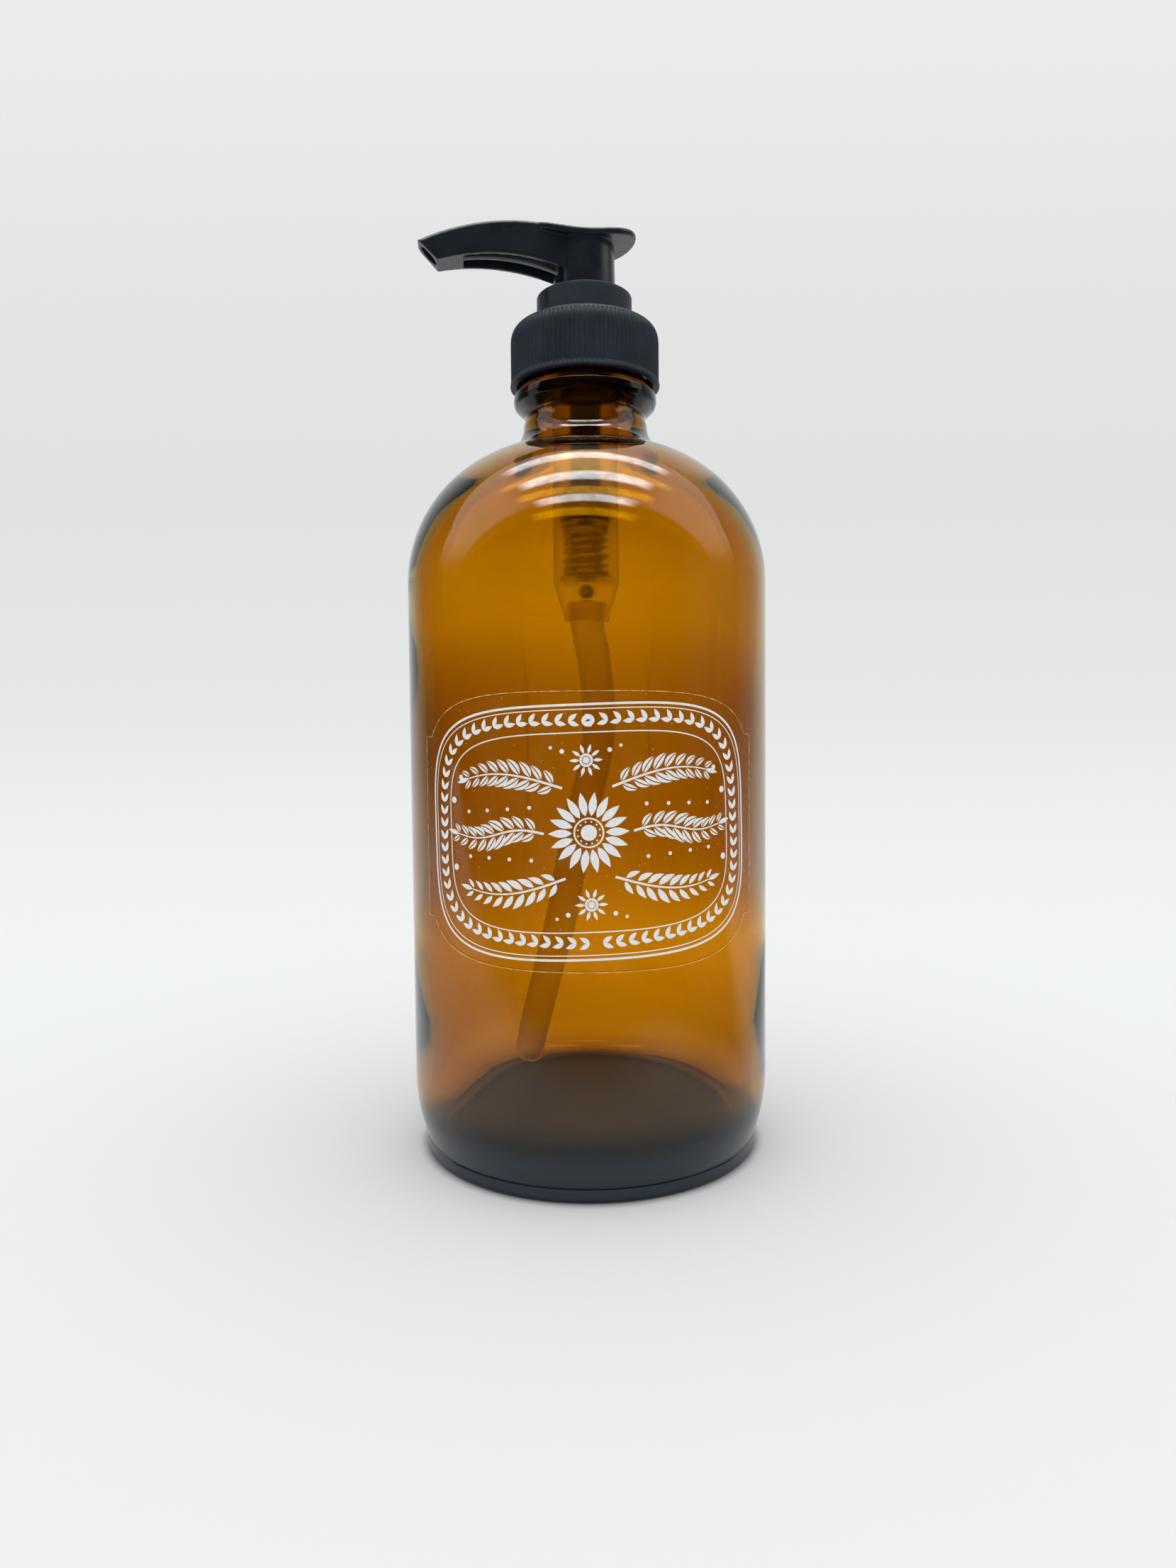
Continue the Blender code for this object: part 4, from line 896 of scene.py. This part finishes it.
class PUMP_OT_label(bpy.types.Operator):
    """Clear film wrapped on the body, its cut edge and the white ornament"""
    bl_idname = "pump.label"
    bl_label = "Label"

    def execute(self, context):
        size = context.scene.pump_label
        self.film(size)
        self.edge(size)
        self.ornament(size)
        return {"FINISHED"}

    @staticmethod
    def film(size):
        """Outer and inner face as two grids, joined round their rim."""
        across = np.linspace(-size.width / 2, size.width / 2, 161)
        rise = np.linspace(-1, 1, 41)
        v = size.middle + film_half_height(size, across)[:, None] * rise[None, :]
        u = np.repeat(across[:, None], len(rise), 1)
        faces = np.stack([wrapped(u, v, size.lift), wrapped(u, v, size.lift - 0.00009)])
        index = np.arange(u.size).reshape(u.shape)
        rim = np.concatenate([index[0, :-1], index[:-1, -1], index[-1, :0:-1], index[:0:-1, 0]])
        side = np.stack([rim + u.size, np.roll(rim, -1) + u.size, np.roll(rim, -1), rim], 1)
        front = grid_quads(*u.shape)
        mesh = put_mesh("label_film", faces, np.concatenate([front, front[:, ::-1] + u.size, side]))
        show(outward(mesh), "bottle", "label_film", "clear film", "label")

    @staticmethod
    def edge(size):
        """Two thin ribbons along the film's outline, a hair above it: a painted highlight and a painted
        shade.
        """
        across = np.linspace(-size.width / 2, size.width / 2, 241)
        half = np.stack([across, film_half_height(size, across)], 1)
        loop = np.concatenate([half, (half * (1, -1))[::-1], half[:1]])
        for name, inset, width, material in (("label_edge_highlight", 0.00008, 0.00015, "film edge highlight"),
                                             ("label_shade", 0.00026, 0.00014, "film shade")):
            u, v = np.moveaxis(strip(loop * (1 - inset / (size.height / 2)), width), -1, 0)
            points = wrapped(u, v + size.middle, size.lift + 0.00001)
            show(put_mesh(name, points, grid_quads(len(loop), 2)), "bottle", "label_film", material)

    @staticmethod
    def ornament(size):
        """All printed shapes as one mesh, tilted a little on the film."""
        tilt = radians(1.7)
        shapes = print_shapes(size)
        starts = np.cumsum([0] + [2 * len(shape) for shape in shapes])
        u, v = np.moveaxis(np.concatenate(shapes) @ np.array([toward(tilt), toward(tilt + pi / 2)]), -1, 0)
        quads = [grid_quads(len(shape), 2) + start for shape, start in zip(shapes, starts)]
        points = wrapped(u, v + size.middle, size.lift + 0.000006)
        show(put_mesh("label_print", points, np.concatenate(quads)), "bottle", "label_film", "white ink")


# ---------------------------------------------------------------- closure and collar
class PUMP_OT_closure(bpy.types.Operator):
    """Ribbed screw closure with its flared rim and rounded top"""
    bl_idname = "pump.closure"
    bl_label = "Closure"

    def execute(self, context):
        s = context.scene.pump_closure
        top, rim = high_z("closure"), low_z("closure")
        hole = s.collar_radius + GAP
        inner, middle = s.radius - s.wall, s.radius - 0.3 * s.wall
        shoulder_r, shoulder_z = s.radius - s.shoulder, top - s.shoulder
        skirt = rounded([(middle, rim), (s.radius + 0.6 * s.flare, rim), (s.radius + s.flare, rim + 0.0003),
                         (s.radius, rim + s.rim_band), (s.radius, shoulder_z)],
                        [0, 0.0001, 0.0002, 0.0005, 0], 6)
        ribbed = upright(s.radius, rim + s.rim_band + 0.0002, shoulder_z, 26)
        # the dome is a little squarer than a circle
        dome = np.array([shoulder_r, shoulder_z]) + s.shoulder * np.abs(arc(0, 0, 1, 0, 90, 18)) ** 0.78
        lip = rounded([dome[-1], (hole, top), (hole, top - s.wall), (shoulder_r, top - s.wall)],
                      [0, 0.0002, 0.0002, 0], 4)
        inside = arc(shoulder_r, shoulder_z, s.shoulder - s.wall, 90, 0, 8)
        bottom = rounded([inside[-1], (inner, rim), (middle, rim)], [0, 0.0002, 0], 4)
        profile = np.concatenate([skirt[:-1], ribbed, dome[1:], lip[1:], inside[1:], bottom[1:-1]])[::-1]

        def ribs(r, z, a):
            """Radius less rib_depth * (half cosine)^0.8, faded out at the rim and on the dome."""
            low = smooth_step((z - rim - 0.4 * s.rim_band) / 0.0004)
            high = 1 - smooth_step((z - (top - 0.0016)) / 0.0011)
            wave = (0.5 - 0.5 * np.cos(s.rib_count * a)) ** 0.8
            return np.where(r > s.radius - 0.6 * s.wall, r - s.rib_depth * wave * low * high, r), z

        mesh = revolved("closure_shell", profile, s.rib_count * 8, shape=ribs)
        show(mesh, "closure", "black_plastic", "matt black plastic", "closure")
        return {"FINISHED"}


def spread(profile, step):
    """Adds points on long edges, so that a slot can be pressed into them."""
    out = []
    for a, b in zip(profile, np.roll(profile, -1, axis=0)):
        count = max(1, min(12, int(np.linalg.norm(b - a) / step)))
        out.append(a + (b - a) * np.arange(count)[:, None] / count)
    return np.concatenate(out)


class PUMP_OT_collar(bpy.types.Operator):
    """Lock collar that the head screws into, with its guide sleeve and notch"""
    bl_idname = "pump.collar"
    bl_label = "Lock collar"

    def execute(self, context):
        s, inside, head = context.scene.pump_closure, context.scene.pump_inside, context.scene.pump_head
        top, low = high_z("lock_collar"), low_z("lock_collar")
        flange_low = high_z("housing") + GAP
        flange_top = flange_low + 0.0008
        floor = top - 0.0059
        recess = head.column_radius + GAP
        guide = inside.stem_radius + GAP
        sleeve = inside.barrel_bore - GAP
        wall = 0.00115
        draft = 0.00005
        outline = [(s.collar_radius - draft, top), (s.collar_radius, flange_top),
                   (s.collar_flange, flange_top), (s.collar_flange, flange_low),
                   (s.collar_radius - wall, flange_low), (s.collar_radius - wall, top - wall),
                   (recess + wall, top - wall), (recess + wall, flange_low), (sleeve, flange_low),
                   (sleeve, low), (guide, low), (guide, floor), (recess, floor), (recess, top)]
        middle, half_tall = (top + high_z("closure")) / 2 + 0.0004, 0.0015
        half_wide, depth = 0.0005, 0.00055

        def notch(r, z, a):
            """Radius less a smooth-edged slot on the outside at the notch's angle and height."""
            away = apart(a, radians(-90 - s.notch_turn)) * s.collar_radius
            across = 1 - smooth_step((away - half_wide) / 0.00016)
            along = 1 - smooth_step((np.abs(z - middle) - half_tall) / 0.0002)
            outer = (r > s.collar_radius - 0.0006) & (z > flange_top + 0.0002)
            return np.where(outer, r - depth * across * along, r), z

        profile = spread(closed_round(outline, 0.00028), 0.0006)
        mesh = revolved("lock_collar_ring", profile, 420, shape=notch)
        show(mesh, "pump", "black_plastic", "matt black plastic", "lock_collar")
        return {"FINISHED"}


# ---------------------------------------------------------------- pieces inside
def housing_outline(s):
    """Flange, barrel, tapered foot, nipple with the tube's socket, ball seat, chamber and bore."""
    low, top, flange = low_z("housing"), high_z("housing"), half_width("housing")
    barrel = s.barrel_bore + s.barrel_wall
    socket = s.tube_radius + GAP
    nipple = socket + 0.0009
    floor, ball = low_z("ball_cage") - GAP, half_width("inlet_ball")
    chamber, hole = ball + 0.0005, 0.0009
    seat, socket_top = floor - 2 * ball - hole / 2, low + 0.0046
    return [(flange, top), (flange, top - 0.0008), (barrel, top - 0.0008), (barrel, low + 0.009),
            ((barrel + nipple) / 2, low + 0.00495), (nipple, low + 0.0018), (nipple, low), (socket, low),
            (socket, socket_top), (hole, socket_top), (hole, seat), (chamber, seat + chamber - hole),
            (chamber, floor), (s.barrel_bore, floor), (s.barrel_bore, top)]


def stem_outline(s):
    """Rod with a stop over the piston; bore, ball seat and the outlet ball's chamber at its top."""
    low, top = low_z("stem"), high_z("stem")
    ball = half_width("outlet_ball")
    hole, chamber = 0.0009, ball + 0.0005
    seat = top - 0.001 - ball - (ball + 0.0002) * sqrt(2) + hole
    stop, stop_low = 0.0046, high_z("piston") + GAP
    return [(s.stem_radius, top), (s.stem_radius, stop_low + 0.0012), (stop, stop_low + 0.0012),
            (stop, stop_low), (s.stem_radius, stop_low), (s.stem_radius, low), (s.stem_bore, low),
            (s.stem_bore, seat - s.stem_bore), (hole, seat - hole), (hole, seat),
            (chamber, seat + chamber - hole), (chamber, top)]


def seat_outline(s):
    """Spigot in the stem, flange over the spring, and the skirt that guides the spring."""
    low, top = low_z("piston_seat"), high_z("piston_seat")
    flange, flange_low = 0.0049, high_z("return_spring") + GAP
    flange_top = flange_low + 0.0012
    wall, skirt, spigot = 0.0009, 0.0033, s.stem_bore - GAP
    return [(spigot, top), (spigot, flange_top), (flange, flange_top), (flange, flange_low),
            (skirt, flange_low), (skirt, low), (skirt - wall, low), (skirt - wall, flange_low - wall),
            (wall, flange_low), (wall, top)]


def piston_outline(s):
    """Sleeve on the stem with a lip that flares up and one that flares down."""
    low, top = low_z("piston"), high_z("piston")
    wall, tall = 0.0009, 0.0018
    lip, inner = half_width("piston"), s.stem_radius + GAP
    sleeve = inner + wall
    return [(sleeve, top - tall), (lip - 0.4 * wall, top), (lip, top - 0.2 * tall),
            (sleeve + 0.5 * wall, top - 1.4 * tall), (sleeve + 0.5 * wall, low + 1.4 * tall),
            (lip, low + 0.2 * tall), (lip - 0.4 * wall, low), (sleeve, low + tall),
            (inner, low + 0.5 * tall), (inner, top - 0.5 * tall)]


def gasket_outline(_):
    """Flat ring round the bottle's bore."""
    low, top, outer = low_z("gasket"), high_z("gasket"), half_width("gasket")
    inner = bpy.context.scene.pump_bottle.bore_radius + GAP
    return [(outer, top), (outer, low), (inner, low), (inner, top)]


# piece, its outline, radius and points of its corners, columns, and what show takes
TURNED = (
    ("pump_housing", housing_outline, 0.0002, 3, 96,
     ("pump", "natural_plastic", "thin milky plastic", "housing")),
    ("stem_rod", stem_outline, 0.00015, 3, 80, ("head", "black_plastic", "smoky plastic", "stem")),
    ("piston_seat_plug", seat_outline, 0.00015, 3, 64,
     ("head", "black_plastic", "smoky plastic", "piston_seat")),
    ("piston_ring", piston_outline, 0.00012, 3, 80, ("plunger", "piston_plastic", "soft plastic", "piston")),
    ("gasket_ring", gasket_outline, 0.0002, 4, 96, ("pump", "gasket_foam", "foam", "gasket")),
)


class PUMP_OT_pump_inside(bpy.types.Operator):
    """Housing, stem, valves, piston, spring and gasket"""
    bl_idname = "pump.inside"
    bl_label = "Pump inside"

    def execute(self, context):
        s = context.scene.pump_inside
        for name, outline, corner, count, columns, place in TURNED:
            show(revolved(name, closed_round(outline(s), corner, count), columns), *place, sharp=50)
        for ball in ("inlet_ball", "outlet_ball"):
            self.ball(ball)
        self.spring(s)
        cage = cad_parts["ball_cage"].data
        cage.materials.clear()
        cage.materials.append(made("thin milky plastic"))
        return {"FINISHED"}

    @staticmethod
    def ball(node):
        """Sphere: radius * (sin p cos a, sin p sin a, cos p) as an open turned profile."""
        radius, middle = (high_z(node) - low_z(node)) / 2, (high_z(node) + low_z(node)) / 2
        mesh = revolved(node + "_sphere", arc(0.0, middle, radius, 90, -90, 33), 48, closed=False)
        show(mesh, node, "spring_steel", "drawn steel", node)

    @staticmethod
    def spring(s):
        """Helix R (cos a, sin a) as a swept round wire; its rise is eased into a flat turn at both ends."""
        low, high = low_z("return_spring"), high_z("return_spring")
        coil_radius, flat = 0.0044, 0.7
        turn = np.linspace(0, s.turns, s.turns * 40 + 1)
        part = (turn - flat) / (s.turns - 2 * flat)
        rise = 0.3 * smooth_step(part) + 0.7 * np.clip(part, 0, 1)
        coil = coil_radius * np.stack([np.cos(2 * pi * turn), np.sin(2 * pi * turn)], 1)
        path = np.column_stack([coil, low + s.wire / 2 + (high - low - s.wire) * rise])
        mesh = lofted("spring_coil", carried(path, circle(12, s.wire / 2)))
        piece = show(mesh, None, "spring_steel", "drawn steel", "return_spring")
        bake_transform(piece)


class PUMP_OT_dip_tube(bpy.types.Operator):
    """Milky tube from the housing's nipple down to the floor at the back"""
    bl_idname = "pump.dip_tube"
    bl_label = "Dip tube"

    def execute(self, context):
        s = context.scene.pump_inside
        route = [(0, 0, high_z("dip_tube")), (0, 0, 0.1101), (0.0001, 0, 0.107), (0.0018, 0.0002, 0.096),
                 (0.0023, 0.0014, 0.0865), (0.0006, 0.0036, 0.0765), (-0.0027, 0.0066, 0.065),
                 (-0.0062, 0.011, 0.049), (-0.0104, 0.0166, 0.030), (-0.0136, 0.0206, 0.0165),
                 (-0.0156, 0.0232, 0.008)]
        path = spline(route, 150)
        outer = carried(path, circle(40, s.tube_radius))
        inner = carried(path, circle(40, s.tube_radius - s.tube_wall))
        mesh = lofted("dip_tube_wall", np.concatenate([outer, inner[::-1]]), poles=())
        show(mesh, "pump", "natural_plastic", "milky plastic", "dip_tube", sharp=50)
        return {"FINISHED"}


# ---------------------------------------------------------------- head
# s runs from the axis to the spout's tip, q across it, z up; the head is turned to its place last.
DUCT_LIFT = 0.00275                # of the duct's middle over the spout's lower edge
DUCT_END = 0.0247                  # where the duct widens into the mouth
DUCT_RADIUS = 0.0015
PAD_LOW = -0.0005                  # where the thumb rest's hollow is deepest, along s
PAD_RISE = 0.01145                 # its height there over the collar
PAD_HOLLOW = 0.034                 # radius of that hollow


def on_arc(s, peak_s, peak_z, radius):
    """Height of a downward-opening arc with its peak at (peak_s, peak_z) above the collar."""
    return high_z("lock_collar") + peak_z - radius + np.sqrt(radius ** 2 - (s - peak_s) ** 2)


def spout_top(s):
    """The spout's upper edge."""
    return on_arc(s, 0.0150, 0.0135, 0.0473)


def spout_low(s):
    """The spout's lower edge."""
    return on_arc(s, 0.0195, 0.00705, 0.0420)


def spout_half(s, size):
    """Half width: parallel at the column, then narrowing with the power 1.5 of the distance."""
    part = np.maximum(s - size.column_radius, 0) / (size.spout_reach - size.column_radius)
    return size.spout_root / 2 - (size.spout_root - size.spout_tip) / 2 * part ** 1.5


def pad_height(s):
    """Top of the thumb rest, an arc hollow lengthwise."""
    return high_z("lock_collar") + PAD_RISE + PAD_HOLLOW - np.sqrt(PAD_HOLLOW ** 2 - (s - PAD_LOW) ** 2)


def skin_across(name, s, q, z):
    """Skin over outlines of (q, z) that stand across the spout at the places s."""
    return lofted(name, np.stack(np.broadcast_arrays(np.reshape(s, (-1, 1)), q, z), 2))


def spout_form(size):
    """Sections across the spout: flat sides, rounded upper edges, a crowned roof."""
    s = np.linspace(0.3 * size.column_radius, size.spout_reach + 0.0015, 60)
    half, low, top = spout_half(s, size)[:, None], spout_low(s)[:, None], spout_top(s)[:, None]
    edge, crown, chamfer = 0.0008, 0.0004, 0.00024
    corner = np.radians(np.linspace(0, 70, 7))
    part = np.linspace(0.75, 0.0, 6)
    q = np.concatenate([half - chamfer, half, half - edge + edge * np.cos(corner), half * part], 1)
    z = np.concatenate([low, low + chamfer, top - edge + edge * np.sin(corner),
                        top + crown * (1 - part ** 2)], 1)
    return skin_across("spout_form", s, np.hstack([q, -q[:, -2::-1]]), np.hstack([z, z[:, -2::-1]]))


def recess_form(size):
    """Hollow under the spout, between its side walls and up to its roof."""
    s = np.linspace(size.column_radius - 0.001, DUCT_END, 24)
    half = spout_half(s, size) - size.spout_wall
    low, high = spout_low(s) - MM, spout_top(s) - size.spout_wall - 0.0008
    return skin_across("recess_form", s, np.stack([-half, half, half, -half], 1),
                       np.stack([low, low, high, high], 1))


def bar_form(name, start, end, radius):
    """Round bar under the spout's roof, at the duct's height."""
    s = np.linspace(start, end, 40)
    return lofted(name, carried(np.stack([s, 0 * s, spout_low(s) + DUCT_LIFT], 1), circle(36, radius)))


def mouth_form(size):
    """Funnel of ovals from the duct to the outlet."""
    s = np.array([DUCT_END - MM, size.spout_reach - 0.002, size.spout_reach + 0.003])
    outlet = (0.00155, 0.00215)
    oval = np.array([(DUCT_RADIUS, DUCT_RADIUS), outlet, outlet])[:, None] * circle(40)
    middle = (spout_low(s) + spout_top(s)) / 2
    middle[0] = spout_low(s[0]) + DUCT_LIFT
    return skin_across("mouth_form", s, oval[..., 0], middle[:, None] + oval[..., 1])


def outlet_cut_form(size):
    """Block whose face is the slanted plane of the outlet."""
    back, slant = 0.02, radians(46)
    lip = np.array([size.spout_reach, spout_top(size.spout_reach)])
    low, high = lip - toward(slant, back), lip + toward(slant, back)
    outline = [low, low + (2 * back, 0), high + (back, 0), high]
    return lofted("outlet_cut", [[(s, q, z) for s, z in outline] for q in (-0.01, 0.01)])


def pad_form(size):
    """Thumb rest: plan radius times a share, top and underside as arcs, joined by a round rim.

    Plan: a circle behind its widest line, a superellipse in front of it.  The top is dished
    crosswise by a little, deepest in the middle.
    """
    c, q = circle(160).T
    front = c > 0
    plan_s = np.where(front, 0.0145 * np.abs(c) ** 0.5, size.pad_half * c)
    plan_q = np.where(front, size.pad_half * np.abs(q) ** 0.5 * np.sign(q), size.pad_half * q)
    widest, edge, dish, thick = -0.0037, 0.00042, 0.00035, size.pad_thickness
    reach = np.hypot(plan_s, plan_q)
    inset = 1 - edge / reach
    shares = np.linspace(0.0, 1.0, 18)[1:]
    rows = [(k * inset, -dish * (1 - smooth_step(k / 0.95))) for k in shares]
    rows += [(inset + edge * sin(turn) / reach, -thick / 2 * (1 - cos(turn)))
             for turn in np.linspace(0, pi, 8)[1:-1]]
    rows += [(k * inset, -thick) for k in shares[::-1]]
    rings = [(widest + plan_s * grow, plan_q * grow, pad_height(widest + plan_s * grow) + drop)
             for grow, drop in rows]
    return lofted("pad_form", np.moveaxis(rings, 1, 2))


def groove_form(size, side, low):
    """Slot between the column and the spout's side wall."""
    near, q = size.column_radius - 0.002, sorted((side * 0.003, side * 0.0043))
    outline = [(near, q[0]), (near + 0.004, q[0]), (near + 0.004, q[1]), (near, q[1])]
    heights = low + 0.005, spout_low(size.column_radius) + 0.001
    return lofted("groove", [[(s, w, z) for s, w in outline] for z in heights])


def carved(name, base, steps, grain):
    """A chain of exact Booleans on a base mesh, then cells of one grain over it, slightly smoothed."""
    body = placed(base)
    tools = [placed(mesh) for _, mesh in steps]
    for (operation, _), tool in zip(steps, tools):
        step = body.modifiers.new(tool.name, "BOOLEAN")
        step.operation, step.solver, step.object = operation, "EXACT", tool
    cells = body.modifiers.new("cells", "REMESH")
    cells.mode, cells.voxel_size, cells.use_smooth_shade = "VOXEL", grain, True
    ease = body.modifiers.new("ease", "SMOOTH")
    ease.factor, ease.iterations = 0.5, 1
    bpy.context.view_layer.update()
    mesh = bpy.data.meshes.new_from_object(body.evaluated_get(bpy.context.evaluated_depsgraph_get()))
    mesh.name = name
    mesh.shade_smooth()
    for item in [body] + tools:
        bpy.data.objects.remove(item, do_unlink=True)
    return mesh


class PUMP_OT_actuator(bpy.types.Operator):
    """Pump head: spout with its outlet and flow channel, thumb rest and column"""
    bl_idname = "pump.actuator"
    bl_label = "Pump head"

    def execute(self, context):
        size = context.scene.pump_head
        low = low_z("actuator")
        socket = context.scene.pump_inside.stem_radius + GAP
        socket_top = low + 0.0094
        riser, duct_z = 0.0013, spout_low(0.0) + DUCT_LIFT
        column_top = pad_height(PAD_LOW) - size.pad_thickness / 2
        column = rounded([(0, column_top), (size.column_radius - size.column_draft, column_top),
                          (size.column_radius, low), (0, low)], [0, 0, 0.0002, 0], 4)
        bore = [(0, duct_z), (riser, duct_z), (riser, socket_top), (socket, socket_top),
                (socket, low - MM), (0, low - MM)]
        outer, inner = size.column_radius - 0.001, socket + 0.001
        cavity = [(outer, low + 0.004), (outer, low - MM), (inner, low - MM), (inner, low + 0.004)]
        channel_end, channel_radius, duct_start = 0.02705, 0.00235, -0.0018
        steps = [("UNION", spout_form(size)), ("UNION", pad_form(size)), ("DIFFERENCE", recess_form(size)),
                 ("UNION", bar_form("channel", 0.5 * size.column_radius, channel_end, channel_radius)),
                 ("DIFFERENCE", bar_form("duct", duct_start, DUCT_END, DUCT_RADIUS)),
                 ("DIFFERENCE", mouth_form(size)), ("DIFFERENCE", outlet_cut_form(size)),
                 ("DIFFERENCE", revolved("socket", bore, 72, closed=False)),
                 ("DIFFERENCE", revolved("cavity", cavity, 96))]
        steps += [("DIFFERENCE", groove_form(size, side, low)) for side in BOTH]
        mesh = carved("actuator_head", revolved("column", column, 120, closed=False), steps, size.grain)
        mesh.transform(Matrix.Rotation(pi + radians(size.turn), 4, "Z"))
        show(mesh, "head", "black_plastic", "satin black plastic", "actuator")
        return {"FINISHED"}


# ---------------------------------------------------------------- stage
class PUMP_OT_stage(bpy.types.Operator):
    """Pale sweep, three lamp bars, soft fill and the camera"""
    bl_idname = "pump.stage"
    bl_label = "Stage"

    def execute(self, context):
        look = context.scene.pump_stage
        self.sweep(look)
        self.world(context.scene, look)
        self.camera(context.scene, look)
        context.scene.view_settings.view_transform = "Standard"
        return {"FINISHED"}

    @staticmethod
    def sweep(look):
        """Floor, quarter bend and upright backdrop as one profile carried along X."""
        bend = arc(look.backdrop - look.bend, look.bend, look.bend, -90, 0, 24)
        profile = np.concatenate([[[-2.0, 0.0], [-0.6, 0.0]], bend, [[look.backdrop, 1.5]]])
        points = np.stack(np.broadcast_arrays([-2.5, 0.0, 2.5], profile[:, 0:1], profile[:, 1:2]), 2)
        mesh = put_mesh("studio_sweep", points, grid_quads(len(profile), 3))
        show(mesh, None, None, "sweep paper")

    @staticmethod
    def world(scene, look):
        """Even fill; shiny surfaces see a pale ceiling with three bars over a dark room.

        For a direction (x, y, z) a bar is a band of y / z around its place, cut off where |x| / z
        grows; the ceiling ends in front at y / z = -0.6 and fades towards the horizon.
        """
        scene.world = bpy.data.worlds.new("studio_fill")
        n = Nodes(scene.world, "OutputWorld")
        where = n.add("TexCoord").outputs["Generated"]
        x, y, z = n.xyz(where)
        up = n.highest(z, 0.001)
        along = n.math("DIVIDE", y, up)
        aside = n.math("DIVIDE", n.absolute(x), up)
        places = ((0.26, 0.6), (-0.17, 1.0), (-0.61, 1.0))
        bars = n.total(*[n.eased(n.absolute(n.math("SUBTRACT", along, place)), 0.105, 0.045, 0.0, strength)
                         for place, strength in places])
        mottle = n.mapped(n.noise(9.0, 4.0, 0.7, where), 0.35, 0.65, 0.6, 1.3)
        lamp = n.product(bars, n.eased(aside, 0.60, 0.42), mottle, look.bars)
        ceiling = n.product(n.eased(along, -0.68, -0.52), n.eased(z, 0.12, 0.48))
        middle = n.product(n.eased(along, -0.05, -0.25), n.eased(aside, 0.9, 0.4, 0.0, 0.8))
        rays = n.add("LightPath").outputs
        glossy, passed = rays["Is Glossy Ray"], rays["Is Transmission Ray"]
        window = n.product(passed, n.eased(x, -0.6, -0.95, 0.0, 0.45))
        front = n.product(passed, n.eased(y, -0.45, -0.9, 0.0, 0.7), n.eased(z, -0.05, 0.1))
        side = n.total(n.eased(x, 0.80, 0.98, 0.015, 0.11), n.highest(window, front))
        tone = n.mix(ceiling, side, n.math("SUBTRACT", 1.15, middle))
        shiny = n.add("Background", {"Color": (0.97, 0.985, 1.0, 1), "Strength": n.total(tone, lamp)})
        fill = n.add("Background", {"Color": (0.985, 0.99, 1.0, 1), "Strength": look.fill})
        n.either(n.highest(glossy, passed), fill, shiny)

    @staticmethod
    def camera(scene, look):
        """Stands in front, tilted down with a slight roll."""
        lens = bpy.data.cameras.new("view")
        lens.sensor_fit, lens.sensor_height, lens.sensor_width = "AUTO", 36.0, 36.0
        lens.lens = look.camera_lens / MM
        lens.clip_start = 0.01
        scene.camera = bpy.data.objects.new("view", lens)
        scene.collection.objects.link(scene.camera)
        spot = Matrix.Translation((look.camera_side, -look.camera_distance, look.camera_height))
        tilt = Matrix.Rotation(radians(90 - look.camera_pitch), 4, "X")
        roll = Matrix.Rotation(radians(look.camera_roll), 4, "Z")
        scene.camera.matrix_world = spot @ tilt @ roll


# ---------------------------------------------------------------- panel and registration
OPERATORS = (PUMP_OT_stage, PUMP_OT_bottle, PUMP_OT_label, PUMP_OT_closure, PUMP_OT_collar,
             PUMP_OT_pump_inside, PUMP_OT_dip_tube, PUMP_OT_actuator)


class PUMP_PT_pieces(bpy.types.Panel):
    """Lists the pieces and their sizes"""
    bl_label = "Soap pump"
    bl_idname = "PUMP_PT_pieces"
    bl_space_type = "VIEW_3D"
    bl_region_type = "UI"
    bl_category = "Soap Pump"

    def draw(self, context):
        for operator in OPERATORS:
            self.layout.operator(operator.bl_idname)
        for name, group in GROUPS.items():
            box = self.layout.box()
            box.label(text=group.__doc__)
            for key in group.__annotations__:
                box.prop(getattr(context.scene, name), key)


def register():
    for name, group in GROUPS.items():
        bpy.utils.register_class(group)
        setattr(bpy.types.Scene, name, PointerProperty(type=group))
    for item in OPERATORS + (PUMP_PT_pieces,):
        bpy.utils.register_class(item)


def unregister():
    for item in reversed(OPERATORS + (PUMP_PT_pieces,)):
        bpy.utils.unregister_class(item)
    for name, group in GROUPS.items():
        delattr(bpy.types.Scene, name)
        bpy.utils.unregister_class(group)


def main():
    register()
    for operator in OPERATORS:
        group, name = operator.bl_idname.split(".")
        getattr(getattr(bpy.ops, group), name)()
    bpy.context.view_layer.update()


if __name__ == "__main__":
    main()
